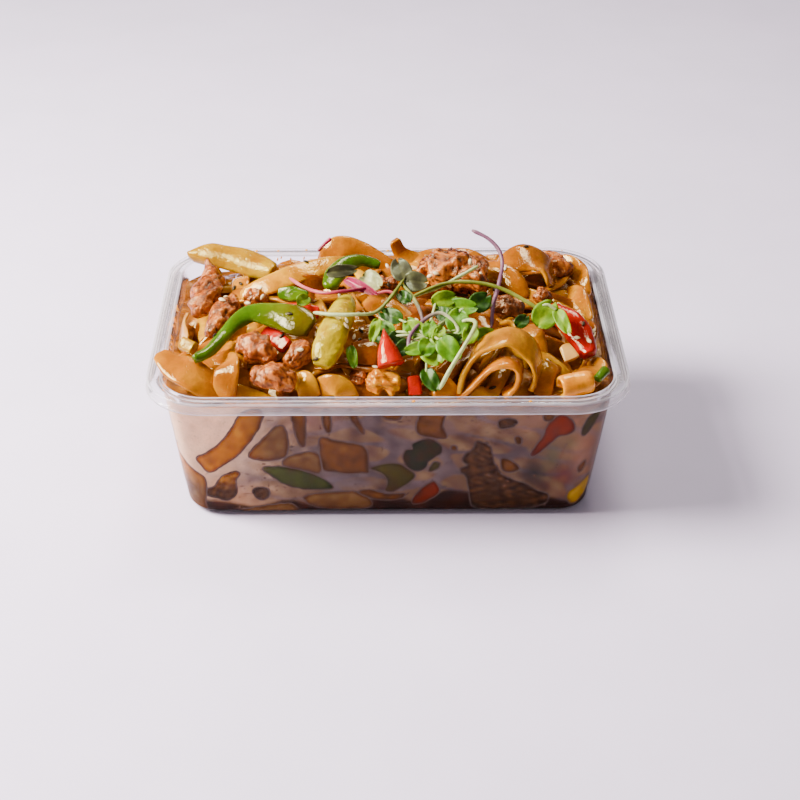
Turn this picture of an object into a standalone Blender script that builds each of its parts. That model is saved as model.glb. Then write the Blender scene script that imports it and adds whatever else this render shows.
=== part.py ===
"""Noodle takeaway box: a clear rectangular box heaped with wide noodles, beef, peppers and cress.

Lengths are in millimetres and become metres when a mesh is made. The origin is at the middle of the
box's underside, +X runs along its long side to the right, +Y to the back and +Z up.
"""

import math
import random
from dataclasses import dataclass

import bmesh
import bpy
import numpy as np

MM = 0.001
SEED = 41

# Sections of a strip: across, through its thickness, and how much the cup lifts the point
FLAT_SECTION = ((-1, -1, 0), (1, -1, 0), (1, 1, 0), (-1, 1, 0))
CUPPED_SECTION = ((-1, -0.5, 0), (0, -1, 1), (1, -0.5, 0), (1, 0.5, 0), (0, 1, 1), (-1, 0.5, 0))

# Box
BOX_LENGTH = 175.0
BOX_DEPTH = 120.0
BOX_HEIGHT = 57.0
RIM_RADIUS = 22.0
RIM_WIDTH = 5.0
RIM_SKIRT = 4.0
SKIRT_FLARE = 0.55
RIM_BEVEL = 0.5
BASE_LENGTH = 151.0
BASE_DEPTH = 96.0
BASE_RADIUS = 12.0
BASE_FILLET = 4.0
WALL = 0.7
FOOT_WIDTH = 7.0
FOOT_STEP = 0.6

# Heap
HEAP_EDGE = 52.0
HEAP_RISE = 14.0
HEAP_HALF_LENGTH = 82.0
HEAP_HALF_DEPTH = 54.0
CORE_SINK = 2.4
CORE_INSET = 3.3
GAP = 0.35
PRESS_STEPS = 9
PRESS_MARGIN = 2.0
NOODLE_THICKNESS = 2.4
PRESSED_NOODLE = 3.7
PRESSED_PIECE = 2.2
STEM_RADIUS = 0.75
STALK_RADIUS = 0.7
STEM_RINGS = 1.6
STEM_FACE = (0.31, 0.17, 0.93)
LEAF_THICKNESS = 0.8
LEAF_ROWS = 5
MORSEL_SIDES = 8
CORNER_POINTS = 6
CORE_LEVELS = (1.6, 6.0, 18.0, 30.0, 40.0, 49.0)
CORE_SCALES = (0.93, 0.82, 0.68, 0.52, 0.36, 0.18)
CORE_LAYOUT = (4, 9, 5)
SHARP_ANGLE = math.radians(40)

FRONT_UP = (0.0, -0.8, 0.6)
UP_FRONT = (0.0, -0.4, 0.9)
UP = (0.0, 0.0, 1.0)

# Colours and roughness of the food
AMBER = (0.62, 0.30, 0.05)
BEEF = (0.26, 0.10, 0.04)
GREEN = (0.10, 0.26, 0.02)
RED = (0.55, 0.03, 0.01)
ORANGE = (0.75, 0.12, 0.01)
YELLOW = (0.80, 0.55, 0.03)
ONION = (0.66, 0.52, 0.34)
LEAF_GREEN = (0.14, 0.34, 0.05)
MAGENTA = (0.45, 0.02, 0.12)
WET = 0.3


@dataclass
class Solid:
    """A closed mesh: its points in millimetres and its faces."""

    points: np.ndarray
    faces: list


@dataclass
class Strip:
    """A strip of food: its route, widths, thickness and the way its broad side faces."""

    route: list
    width: object
    thickness: float = NOODLE_THICKNESS
    face: tuple = None
    across: tuple = None
    cup: float = 0.0
    rings: int = 7


@dataclass
class Morsel:
    """A rounded piece: its route, its half width and half height, and how rough it is."""

    route: list
    half_width: object
    half_height: float
    rough: float = 0.16
    rings: int = 8


STRIPS = {
    "yellow_pepper": (YELLOW, Strip([(-79, 44, 61.5), (-70, 42, 63), (-60, 38, 63), (-51, 33, 62.5),
        (-44, 27, 62.5)], [4, 10, 11, 11, 8], 4.0, (0, -0.6, 0.8), cup=1.6)),
    "green_pepper_curved": (GREEN, Strip([(-70, -39, 63), (-65, -34, 63.5), (-60, -24, 64.5),
        (-56, -19, 67), (-50, -16, 69), (-42, -18, 69.5), (-34, -22, 69.5), (-28, -26, 68.5)],
        [4, 4.5, 5, 6, 7, 10, 12, 10], 2.4, (0, -0.6, 0.8), cup=0.8, rings=13)),
    "green_pepper_back": (GREEN, Strip([(-3, 16, 72), (-10, 16, 74), (-16, 12, 74), (-20, 6, 73),
        (-22, -1, 71)], [4, 5, 7, 8, 6], 2.4, (0, -0.7, 0.7), cup=0.8)),
    "green_pepper_small": (GREEN, Strip([(-41, 1, 68), (-36, -1, 69), (-30, -3, 69)], [4, 6, 4],
        2.6, FRONT_UP, rings=5)),
    "red_pepper_left": (RED, Strip([(-45.5, -18, 62.4), (-41, -24, 62.7), (-37, -29, 62.2)],
        6, 2.6, FRONT_UP, rings=5)),
    "orange_pepper": (ORANGE, Strip([(-42, -9, 66), (-34, -11, 67), (-25.5, -12, 67)], [5, 7, 5],
        3.0, FRONT_UP, rings=6)),
    "red_pepper_right": (RED, Strip([(61, -5, 64), (67, -12, 63.5), (71, -19, 61.5), (74, -29, 58)],
        [7, 9, 10, 7], 3.6, (-0.2, -0.7, 0.7), cup=1.0)),
    "red_pepper_front": (RED, Strip([(9, -46.5, 60.5), (9.5, -50.5, 55)], 5, 2.6, FRONT_UP, rings=4)),
    "yellow_pepper_bit": (YELLOW, Strip([(-76, -22, 60), (-71, -27, 60.5)], 5, 3.2, FRONT_UP, rings=4)),
    "green_pepper_corner": (GREEN, Strip([(75, -44, 57.4), (79, -38, 57.8)], 3.5, 2.2, UP_FRONT, rings=4)),
    "onion_left": (ONION, Strip([(-77.6, 9, 54), (-78.2, 1, 53.5), (-77.4, -8, 53.5), (-75.6, -13.5, 54)],
        [4, 8, 9, 7], 1.6, across=(0.35, 0.1, 1), rings=9)),
    "onion_right": (ONION, Strip([(64.5, -28, 62), (67, -34, 59.5)], [4, 6], 1.8, FRONT_UP, rings=5)),
}

MORSELS = {
    "green_stalk": (YELLOW, Morsel([(-15, -10, 72), (-18, -26, 72), (-21, -38, 69.5), (-24, -46, 64.5)],
        [5.5, 5.6, 5.8, 5.8], 3.6, 0.04)),
    "orange_wedge": (ORANGE, Morsel([(-1.5, -34, 70), (0, -40, 67), (1, -45, 63.5)], [1.5, 4.2, 5.4],
        2.8, 0.05, 6)),
    "crinkled_omelette": (YELLOW, Morsel([(-8, -48, 58), (-2, -48, 59), (4, -48, 58)], 4.6, 3.4, 0.25, 8)),
    "beef_left": (BEEF, Morsel([(-71, 33, 65), (-69, 25, 61), (-70.5, 10, 61.5), (-71.8, -2, 61)],
        [1.5, 5.3, 5.6, 4.5], 4.4, 0.2, 10)),
    "beef_left_inner": (BEEF, Morsel([(-58, 3, 65), (-61.5, -8, 64.5), (-66, -20, 62)], [3.4, 4.6, 4.4],
        3.8)),
    "beef_crumbly_left": (BEEF, Morsel([(-54, 1, 63), (-50, 0.5, 65), (-46.5, -1.5, 66)], 4.9, 4.2, 0.3)),
    "beef_middle": (BEEF, Morsel([(-54, -27, 64), (-48, -33, 64.5), (-41.5, -38.5, 63)], [5, 6, 4.4], 4.2)),
    "beef_by_stalk": (BEEF, Morsel([(-36, -41, 62), (-32.5, -36.5, 63.5), (-30, -31, 65)], 4.2, 3.4)),
    "beef_front": (BEEF, Morsel([(-49, -45.5, 60), (-41, -47, 60.5), (-33, -48, 59)], [5.4, 6.2, 5.8],
        4.8, 0.2, 9)),
    "beef_curl": (BEEF, Morsel([(-14, -43.5, 58), (-8, -43, 58.5)], 3, 2.2, rings=6)),
    "beef_back_small": (BEEF, Morsel([(-4, 6, 68), (4, 7, 68)], 4, 3.6, rings=6)),
    "beef_crumbly_right": (BEEF, Morsel([(13, 20, 68.5), (22, 15, 70.5), (30, 13, 70), (37, 5, 68)],
        [6.5, 9, 9, 6], 6.2, 0.3, 11)),
    "beef_right": (BEEF, Morsel([(60, 39, 62.5), (67, 37, 62), (72, 31, 60)], 4.8, 4.0)),
    "beef_dark": (BEEF, Morsel([(38, -4, 66), (44, -6, 66), (51, -8, 65)], 4.6, 3.6)),
    "beef_by_hood": (BEEF, Morsel([(61, 9, 64), (57, 3, 64)], 3.6, 2.8, rings=6)),
}

# Noodles on top of the heap: those that show most come first
NOODLES = {
    "loop_outer": Strip([(26, -48, 54), (28, -44, 62), (34, -40, 69), (43, -38, 71.5), (51, -40, 67),
        (53.5, -43, 60), (51, -47, 54)], 13, across=(-0.3, -0.95, -0.05), rings=12),
    "loop_inner": Strip([(25, -49, 54), (31, -48.5, 59.5), (37, -47.5, 65), (42, -47, 66.5),
        (46, -47.5, 64), (46, -48, 58), (41, -49, 54)], 8, across=(-0.2, -0.97, 0.1), rings=12),
    "hood": Strip([(45, 20, 60), (47, 25, 66), (54, 27, 69.5), (61, 26, 67), (65, 21, 60)],
        14, across=(0.1, -1, -0.3), rings=10),
    "petal": Strip([(-83, -31, 60.6), (-77, -38, 60.0), (-69, -43, 58), (-60, -45, 52)], [7, 12, 13, 10],
        face=(0.3, -0.5, 0.8), rings=9),
    "peak": Strip([(-25, 37, 58), (-19, 37, 66), (-10, 36, 64), (2, 33, 59)], [9, 14, 14, 10],
        face=FRONT_UP, cup=1.0),
    "spike": Strip([(3, 37, 72), (6, 37, 66), (14, 35, 62.5), (24, 33, 60)], [5, 6, 9, 10], face=FRONT_UP),
    "long_edge": Strip([(-56, 10, 62), (-44, 10, 67.5), (-30, 16, 70), (-16, 24, 68), (-8, 26, 63)],
        [6, 9, 9, 8, 7], face=(0, -0.45, 0.9), rings=9),
    "long_flap": Strip([(-45, 9, 60), (-37, 9.5, 65), (-29, 11, 66), (-22, 12, 62)], [6, 8, 9, 7],
        face=(0, -0.9, 0.45), rings=8),
    "over_beef": Strip([(4, 35, 59), (16, 35, 65), (31, 34, 66), (45, 31, 60)], 8, face=(0, -0.4, 0.9)),
    "beside_beef": Strip([(33, 29, 60), (42, 22, 66), (49, 14, 65), (50.5, 9, 60)],
        9, face=(-0.2, -0.7, 0.7), cup=1.0),
    "ruffle": Strip([(61, 46, 52), (72, 43, 58), (77, 35, 58), (77, 25, 53)], 8, face=(-0.5, -0.5, 0.7)),
    "right_strip": Strip([(70, 23, 55), (74.5, 15, 59), (76, 2, 54)], 7, face=(-0.4, -0.5, 0.8), rings=7),
    "right_wall": Strip([(73, 4, 50), (77.5, -6, 54), (75, -18, 50)], 8, across=(0.3, 0, 1), rings=7),
    "wide_right": Strip([(60, -44, 51), (70, -42, 55), (76, -33, 55), (74, -25, 50)], [9, 10, 9, 7],
        face=(-0.3, -0.7, 0.7), rings=8),
    "fold_right": Strip([(55, -47, 52), (57, -42, 58.5), (59.5, -37.5, 59), (60, -34, 54)],
        7, face=(-0.3, -0.8, 0.5), rings=8),
    "twist": Strip([(-58, -30, 57), (-57.5, -37, 61), (-58, -43, 60), (-59, -47, 52)], [5, 8, 10, 9],
        face=(-0.3, -0.75, 0.55)),
    "between_beef": Strip([(-58, -35, 52), (-50, -37, 56), (-42, -38.5, 55.5), (-34, -39, 52)],
        6, face=UP, rings=6),
    "pale_front": Strip([(-33, -41, 54), (-30, -45.5, 57.5), (-28, -48, 52)], 8, face=FRONT_UP, rings=7),
    "bright_front": Strip([(-26, -44, 53), (-21, -47.6, 57.6), (-16.5, -48.6, 56.5), (-14, -48.6, 51)],
        8, face=FRONT_UP, rings=7),
    "under_cress": Strip([(4, -2, 62), (10, -14, 67), (20, -22, 67), (30, -24, 61)],
        12, face=UP_FRONT, rings=8),
    "front_right": Strip([(13, -43, 54), (18, -48, 57.5), (23, -49, 52)], 9, face=FRONT_UP, rings=7),
    "centre": Strip([(-10, -22, 61), (-8, -32, 65), (-9, -40, 61)], 10, face=UP_FRONT, rings=7),
    "centre_back": Strip([(-14, 4, 62), (-5, -6, 67.5), (4, -16, 66), (8, -26, 60)],
        11, face=UP_FRONT, rings=8),
    "centre_right": Strip([(50.5, -12, 60), (52, -18, 63), (53.5, -26, 62), (54, -32, 56)],
        10, face=UP_FRONT, rings=8),
    "left_front": Strip([(-73, -17, 52), (-71, -25, 55), (-65, -32, 56), (-58, -37, 52)], [6, 9, 10, 9],
        face=UP_FRONT, rings=7),
    "back_left": Strip([(-66, 22, 50), (-54, 27, 55.6), (-40, 32, 57), (-28, 31, 53)],
        11, face=UP_FRONT, rings=9),
    "back_row": Strip([(-44, 46, 50), (-24, 47, 56), (0, 47, 57.5), (22, 47, 54), (36, 46, 49)],
        9, face=UP, rings=11),
    "back_right": Strip([(26, 44, 51), (42, 43, 58), (56, 46, 55), (64, 44, 49)],
        9, face=UP_FRONT, rings=9),
}

TUBE_CENTRE = (67.0, -47.6, 57.2)
TUBE_AXIS = (0.95, 0.28, 0.05)
TUBE_RADIUS = 3.4
TUBE_LENGTH = 12.0
TUBE_WALL = 2.0
TUBE_GROWTH = 0.8
TUBE_START = -100.0
TUBE_TURN = 315.0
TUBE_RINGS = 14

# Pieces pressed on the clear wall: distance along the wall from the middle of the front, then height
PRESSED = {
    "pressed_green_pepper": (GREEN, [(-47, 20), (-33, 16), (-18, 12.5)], [1.5, 7, 1.5]),
    "pressed_olive_pepper": (GREEN, [(-8, 13), (0, 17), (11, 21)], [6, 10, 3]),
    "pressed_cress": (LEAF_GREEN, [(20, 34), (12, 35), (7, 31), (10, 25)], [3, 7, 7, 4]),
    "pressed_orange_pepper": (ORANGE, [(10, 6.5), (14, 12), (18, 16)], [5, 6, 3]),
    "pressed_beef": (BEEF, [(33, 36), (32, 26), (35, 16), (47, 9)], [7, 11, 13, 8]),
    "pressed_carrot": (ORANGE, [(53, 30), (59, 37), (66, 45)], [3, 7, 9]),
    "pressed_olive_strip": (GREEN, [(70, 37), (75, 44), (80, 49)], [2, 4, 4]),
    "pressed_yellow_bit": (YELLOW, [(67, 8), (72, 11), (77, 15)], [4, 7, 4]),
    "pressed_beef_left": (BEEF, [(-66, 12), (-61, 14), (-56, 17)], [6, 8, 5]),
    "pressed_beef_bit": (BEEF, [(-51, 14), (-47, 10.5)], [4, 4]),
    "pressed_red_pepper": (RED, [(62, 19), (66, 23.5)], [4, 5]),
    "pressed_leaves": (LEAF_GREEN, [(49, 25.5), (54, 24), (57, 20)], [5, 8, 5]),
    "pressed_back_green": (GREEN, [(212, 34), (224, 26), (236, 22)], [3, 8, 3]),
    "pressed_back_beef": (BEEF, [(-232, 20), (-222, 25), (-210, 22)], [7, 11, 6]),
    "pressed_side_red": (RED, [(118, 34), (126, 28), (132, 20)], [4, 7, 4]),
    "pressed_side_beef": (BEEF, [(-118, 18), (-126, 24), (-136, 24)], [6, 9, 6]),
}

# Noodles pressed on the front wall, fused to the heap
WALL_NOODLES = [
    ([(-48, 51), (-50, 42), (-58, 32), (-68, 26)], [9, 10, 10, 9]),
    ([(-50, 31), (-44, 34), (-39, 40)], [8, 9, 5]),
    ([(-80, 26), (-77, 14), (-74, 5)], [5, 8, 6]),
    ([(-62, 4.5), (-44, 4.5)], [4, 5]),
    ([(-37, 6.5), (-20, 7), (-4, 5.5)], [5, 6, 4]),
    ([(-32, 51), (-32, 42), (-31, 35)], [5, 5, 2]),
    ([(-22, 51), (-21, 41)], [4, 2.5]),
    ([(-14, 50), (-9, 40)], [4, 2.5]),
    ([(-38, 27), (-26, 29)], [6, 7]),
    ([(-22, 30), (-9, 28)], [12, 11]),
    ([(8, 47), (20, 44)], [6, 8]),
]
LOOSE_WALL_NOODLES = 10
LOOSE_KEEP_CLEAR = 15.0
LOOSE_ROWS = (12, 26, 39)
LOOSE_HEIGHTS = (6.0, 47.0)
LOOSE_SPAN = (92.0, 246.0)
WALL_ROUND = 500.0

# Cress and other small sprouts: stems by their routes, leaves by middle, lengthwise direction and size
STEMS = [
    [(-37, 3, 73.5), (-31, -7, 75), (-24, -14, 76.5), (-16, -14.5, 77.5), (-8, -11.5, 77)],
    [(-27, -26, 75), (-20, -31, 77), (-12, -31, 77), (-5, -28, 76), (0, -20, 76.5), (6, -6.5, 78)],
    [(5, -8, 77), (9, -16, 76), (12, -26, 74), (13, -36, 70)],
    [(38, -22, 66), (39, -14, 71), (41.5, -6, 76), (43, 1, 80), (42, 6, 83.5), (38, 10, 86.5),
     (32, 13, 88.5)],
    [(9, -16, 76), (19, -10, 76.5), (27, -4, 78), (34, 2, 79)],
    [(9, -16, 76), (21, -10, 78), (32, -9, 78), (43, -11, 76), (56, -17, 71)],
    [(24, -30, 72), (29, -32.5, 75.5), (31, -38, 76.5), (27, -45, 72.5), (22, -50, 66), (18, -53, 59)],
    [(7, -42, 68), (8, -36, 71.5), (14, -30, 75), (20, -29, 76), (25, -35, 72), (16, -36, 70)],
    [(39, -14, 71), (32, -16, 73), (24, -24, 72.5), (15, -35, 70.5)],
    [(55, -16.5, 71.3), (59, -15.5, 72), (62.2, -17, 70.6)],
    [(-4, -14.5, 76.5), (-0.5, -14.5, 77.3), (2.2, -15, 76.8)],
]
LEAVES = [
    ((-10, -10.5, 77), (1, -0.8, -0.1), 15, 4),
    ((5, -3, 80), (-0.3, 0.9, 0.5), 11, 8),
    ((10.5, -8.4, 77.9), (1, -0.3, 0.1), 9, 8),
    ((27, -20, 73.6), (1, -0.3, 0.2), 12, 7),
    ((34, -16, 73.6), (0.7, 0.7, 0.3), 10, 8),
    ((58, -19, 70), (0.5, 0.8, 0.4), 13, 10),
    ((64, -22, 68.5), (0.3, -0.9, -0.3), 13, 5),
    ((25, -31, 74), (0.2, 0.9, 0.5), 11, 9),
    ((9, -33, 72), (-0.8, 0.3, 0.2), 8, 7),
    ((16, -43, 68), (0.4, -0.8, -0.3), 11, 10),
    ((9.5, -42, 69), (-0.9, -0.2, -0.1), 8, 5),
    ((21.5, -44, 70), (0.6, -0.6, -0.4), 11, 8),
    ((15, -49.5, 60.5), (0.5, -0.8, -0.5), 10, 6),
    ((1, -26, 73.5), (-0.8, 0.5, 0.1), 10, 6),
    ((18, -37, 72), (0.3, 0.7, 0.4), 8, 5),
]
CRESS_HEART = (14.0, -36.0, 70.5)
STALK_REACH = (7.0, 18.0)
SINGLE_LEAVES = {
    "sprout_leaf_grey": ((-17, 1, 77.5), (1, 0.1, 0.1), 12, 5, GREEN),
    "sprout_leaf_pale": ((-6, -2, 74.5), (0.6, -0.7, 0.0), 11, 8, ONION),
    "sprout_leaf_light": ((-31.5, -10.5, 71.4), (0.5, 0.8, 0.0), 8, 5, GREEN),
    "sprout_leaf_bright": ((-5, -34, 72), (-0.2, -0.8, -0.4), 10, 4, GREEN),
    "sprout_leaf_small": ((-13, -40, 64.5), (0.2, -0.8, -0.5), 9, 4, GREEN),
}
BACK_STEM = [(-27, 31, 70.5), (-24.5, 32, 73), (-22, 33, 75)]

# Sesame seeds: the strip they lie on, then each one's place along it and across it
SEED_SIZE = (3.0, 1.9, 1.3)
SEED_SIDES = 5
SEED_OUTLINE = ((-0.5, 0.3), (-0.2, 0.85), (0.2, 1.0), (0.5, 0.35))
SEED_PLACES = 41
PEPPER_SEEDS = {"red_pepper_right": [(0.35, -0.3), (0.62, 0.2)]}
NOODLE_SEEDS = [
    ("loop_outer", 0.68, -0.7),
    ("loop_outer", 0.52, 0.1),
    ("loop_inner", 0.4, 0.0),
    ("centre", 0.4, 0.3),
    ("under_cress", 0.35, -0.2),
    ("long_flap", 0.5, 0.0),
]


def catmull(points, count):
    """Return count points on a smooth curve through the route's points."""
    knots = np.asarray(points, float)
    if len(knots) == 2:
        return knots[0] + (knots[1] - knots[0]) * np.linspace(0, 1, count)[:, None]
    ends = np.vstack([2 * knots[0] - knots[1], knots, 2 * knots[-1] - knots[-2]])
    out = []
    for t in np.linspace(0, len(knots) - 1, count):
        i = min(int(t), len(knots) - 2)
        u = t - i
        a, b, c, d = ends[i:i + 4]
        square = (2 * a - 5 * b + 4 * c - d) * u ** 2
        cube = (3 * b - a - 3 * c + d) * u ** 3
        out.append(0.5 * (2 * b + (c - a) * u + square + cube))
    return np.array(out)


def spread(value, count):
    """Return count values that run smoothly through a single value or a list of values."""
    values = np.atleast_1d(np.asarray(value, float))
    return np.interp(np.linspace(0, 1, count), np.linspace(0, 1, len(values)), values)


def unit(vectors):
    """Return the vectors scaled to length one."""
    return vectors / np.linalg.norm(vectors, axis=-1, keepdims=True)


def frames(line, face=None, across=None):
    """Return the tangent, the sideways direction and the normal at each point of a line."""
    tangent = unit(np.gradient(line, axis=0))
    if across is not None:
        side = np.broadcast_to(np.asarray(across, float), line.shape)
        side = side - tangent * (side * tangent).sum(-1, keepdims=True)
    else:
        side = np.cross(np.asarray(face, float), tangent)
    side = unit(side)
    return tangent, side, np.cross(tangent, side)


def loft(rings):
    """Return the closed solid through rings of equally many points, with a fan on each end ring."""
    rings = [np.asarray(ring, float) for ring in rings]
    n = len(rings[0])
    points = np.vstack(rings + [rings[0].mean(0, keepdims=True), rings[-1].mean(0, keepdims=True)])
    first, last = n * len(rings), n * len(rings) + 1
    faces = []
    for r in range(len(rings) - 1):
        for k in range(n):
            a, b = r * n + k, r * n + (k + 1) % n
            faces.append((a, b, b + n))
            faces.append((a, b + n, a + n))
    for k in range(n):
        faces.append((first, (k + 1) % n, k))
        faces.append((last, first - n + k, first - n + (k + 1) % n))
    return Solid(points, faces)


def strip_solid(strip):
    """Return a strip's closed solid: a flat or cupped section swept along its route."""
    line = catmull(strip.route, strip.rings)
    _, side, normal = frames(line, strip.face, strip.across)
    half = spread(strip.width, strip.rings)[:, None] / 2
    thick = strip.thickness / 2
    section = CUPPED_SECTION if strip.cup else FLAT_SECTION
    columns = [line + side * half * x + normal * (thick * y + strip.cup * c) for x, y, c in section]
    return loft(np.stack(columns, axis=1))


def morsel_solid(morsel, rng):
    """Return a rounded piece's closed solid: an uneven oval section swept along its route."""
    line = catmull(morsel.route, morsel.rings)
    _, side, normal = frames(line, face=UP_FRONT)
    half = spread(morsel.half_width, morsel.rings)
    rings = []
    for i in range(morsel.rings):
        t = i / (morsel.rings - 1)
        swell = math.sin(math.pi * (0.1 + 0.8 * t)) ** 0.4
        ring = []
        for k in range(MORSEL_SIDES):
            angle = 2 * math.pi * k / MORSEL_SIDES
            bump = swell * (1 + rng.uniform(-morsel.rough, morsel.rough))
            across = side[i] * half[i] * math.cos(angle)
            upward = normal[i] * morsel.half_height * math.sin(angle)
            ring.append(line[i] + bump * (across + upward))
        rings.append(ring)
    return loft(rings)


def stem_solid(route, radius=STEM_RADIUS, sides=4, count=None):
    """Return a thin stem along a route, drawn with a number of rings."""
    line = catmull(route, count or round(STEM_RINGS * len(route)) + 1)
    _, side, normal = frames(line, face=STEM_FACE)
    angles = 2 * math.pi * np.arange(sides) / sides
    rings = []
    for point, across, up in zip(line, side, normal):
        rings.append(point + radius * (np.outer(np.cos(angles), across) + np.outer(np.sin(angles), up)))
    return loft(rings)


def leaf_solid(middle, along, length, width, wave=0.5):
    """Return a leaf: a thin wavy sheet, with both faces split into triangles alike."""
    along = unit(np.asarray(along, float))
    side = unit(np.cross(np.asarray(FRONT_UP), along))
    normal = np.cross(along, side)
    rings = []
    lift = normal * LEAF_THICKNESS / 2
    edge = normal * wave
    for i in range(LEAF_ROWS):
        t = i / (LEAF_ROWS - 1)
        half = side * width / 2 * (0.22 + 0.78 * math.sin(math.pi * t ** 0.85) ** 0.6)
        centre = np.asarray(middle, float) + along * length * (t - 0.5) + normal * wave * math.sin(5.0 * t)
        lower = [centre - half + edge - 0.6 * lift, centre - lift, centre + half + edge - 0.6 * lift]
        upper = [centre + half + edge + 0.6 * lift, centre + lift, centre - half + edge + 0.6 * lift]
        rings.append(lower + upper)
    return loft(rings)


def seed_solid(middle, along, up):
    """Return a sesame seed: a small pointed oval."""
    along, up = unit(np.asarray(along, float)), unit(np.asarray(up, float))
    side = np.cross(up, along)
    length, width, height = SEED_SIZE
    angles = 2 * math.pi * np.arange(SEED_SIDES) / SEED_SIDES
    section = np.outer(np.cos(angles), side * width / 2) + np.outer(np.sin(angles), up * height / 2)
    rings = [np.asarray(middle) + along * length * t + fat * section for t, fat in SEED_OUTLINE]
    return loft(rings)


def seed_on(strip, place, offset):
    """Return a seed half sunk in a strip's broad side, at a share of its length and of its half width."""
    line = catmull(strip.route, SEED_PLACES)
    tangent, side, normal = frames(line, strip.face, strip.across)
    i = int(place * (SEED_PLACES - 1))
    across = side[i] * spread(strip.width, SEED_PLACES)[i] / 2 * offset
    height = strip.thickness / 2 * (1 - 0.5 * abs(offset)) + strip.cup * (1 - abs(offset))
    return seed_solid(line[i] + across + normal[i] * height, tangent[i] + 0.6 * side[i], normal[i])


def box_section(half_x, half_y, radius, corner_points, long_points=0, short_points=0):
    """Return a rounded rectangle's points, anticlockwise from the front right corner."""
    out = []
    arcs = []
    for sx, sy, start in ((1, -1, -90), (1, 1, 0), (-1, 1, 90), (-1, -1, 180)):
        centre = np.array([sx * (half_x - radius), sy * (half_y - radius)])
        angles = np.radians(start + 90 * np.arange(corner_points) / (corner_points - 1))
        arcs.append(centre + radius * np.stack([np.cos(angles), np.sin(angles)], axis=1))
    gaps = [short_points, long_points, short_points, long_points]
    for k, arc in enumerate(arcs):
        out.extend(arc)
        following = arcs[(k + 1) % 4][0]
        for j in range(gaps[k]):
            out.append(arc[-1] + (following - arc[-1]) * (j + 1) / (gaps[k] + 1))
    return np.array(out)


def wall_size(z, inset=0.0):
    """Return the half length, half depth and corner radius of the outer wall at a height, moved inwards."""
    t = z / BOX_HEIGHT
    half_x = BASE_LENGTH / 2 + (BOX_LENGTH / 2 - RIM_WIDTH - BASE_LENGTH / 2) * t
    half_y = BASE_DEPTH / 2 + (BOX_DEPTH / 2 - RIM_WIDTH - BASE_DEPTH / 2) * t
    radius = BASE_RADIUS + (RIM_RADIUS - RIM_WIDTH - BASE_RADIUS) * t
    return half_x - inset, half_y - inset, max(radius - inset, 1.0)


def fillet_inset(z):
    """Return how far the rounded lower edge of the box's inside stands in from the wall at a height."""
    radius = BASE_FILLET - WALL
    below = min(max(1 - (z - WALL) / radius, 0.0), 1.0)
    return radius * (1 - math.sqrt(1 - below ** 2))


def box_solid():
    """Return the clear box: base with a raised middle, sloping walls, flat rim and its turned-down skirt."""
    height = np.ones((4 * CORNER_POINTS, 1))

    def ring(z, inset):
        return np.hstack([box_section(*wall_size(z, inset), CORNER_POINTS), z * height])

    def rim_ring(z, grow):
        half = (BOX_LENGTH / 2 + grow, BOX_DEPTH / 2 + grow, RIM_RADIUS + grow)
        return np.hstack([box_section(*half, CORNER_POINTS), z * height])

    def fillet(radius, floor, extra):
        steps = [math.radians(90 * k / 4) for k in range(5)]
        return [ring(floor + radius * (1 - math.cos(a)), extra + radius * (1 - math.sin(a))) for a in steps]

    top = BOX_HEIGHT
    rings = [ring(FOOT_STEP, BASE_FILLET + FOOT_WIDTH + 1), ring(0, BASE_FILLET + FOOT_WIDTH)]
    rings += fillet(BASE_FILLET, 0.0, 0.0)
    hem = top - RIM_SKIRT
    rings += [ring(top - WALL, 0.0), rim_ring(top - WALL, -WALL), rim_ring(hem, SKIRT_FLARE - WALL)]
    rings += [rim_ring(hem, SKIRT_FLARE), rim_ring(top - RIM_BEVEL, 0.0), rim_ring(top, -RIM_BEVEL)]
    rings += [ring(top, WALL - RIM_BEVEL), ring(top - RIM_BEVEL, WALL)]
    rings += fillet(BASE_FILLET - WALL, WALL, WALL)[::-1]
    rings += [ring(WALL, BASE_FILLET + FOOT_WIDTH), ring(FOOT_STEP + WALL, BASE_FILLET + FOOT_WIDTH + 1)]
    return loft(rings)


def on_wall(along, z, depth):
    """Return the point at a distance along the wall from the front's middle, a height and a depth in."""
    half_x, half_y, radius = wall_size(z, WALL + depth + fillet_inset(z))
    quarter = math.pi / 2 * radius
    legs = [half_x - radius, quarter, 2 * (half_y - radius), quarter, half_x - radius]
    sign = 1 if along >= 0 else -1
    left = abs(along)
    centre_x, front, back = half_x - radius, radius - half_y, half_y - radius
    if left < legs[0]:
        x, y = left, -half_y
    elif left < sum(legs[:2]):
        a = (left - legs[0]) / radius
        x, y = centre_x + radius * math.sin(a), front - radius * math.cos(a)
    elif left < sum(legs[:3]):
        x, y = half_x, front + left - sum(legs[:2])
    elif left < sum(legs[:4]):
        a = (left - sum(legs[:3])) / radius
        x, y = centre_x + radius * math.cos(a), back + radius * math.sin(a)
    else:
        x, y = centre_x - (left - sum(legs[:4])), half_y
    return np.array([sign * x, y, z])


def pressed_solid(route, width, thickness, rings=5):
    """Return a flat piece that lies along the inside of the wall, just clear of it."""
    flat = catmull([(a, z, 0) for a, z in route], rings)
    tangent = unit(np.gradient(flat, axis=0))
    half = spread(width, rings) / 2
    out = []
    for point, direction, h in zip(flat, tangent, half):
        across = np.array([-direction[1], direction[0]])
        ring = []
        for x, depth in ((-1, 0), (1, 0), (1, 1), (-1, 1)):
            a, z = point[:2] + across * h * x
            ring.append(on_wall(a, z, GAP + thickness * depth))
        out.append(ring)
    return loft(out)


def dome(x, y):
    """Return the height of the heap over a place in the box."""
    u = ((abs(x) / HEAP_HALF_LENGTH) ** 4 + (abs(y) / HEAP_HALF_DEPTH) ** 4) ** 0.25
    return HEAP_EDGE + HEAP_RISE * (1 - min(u, 1.1) ** 3)


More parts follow.
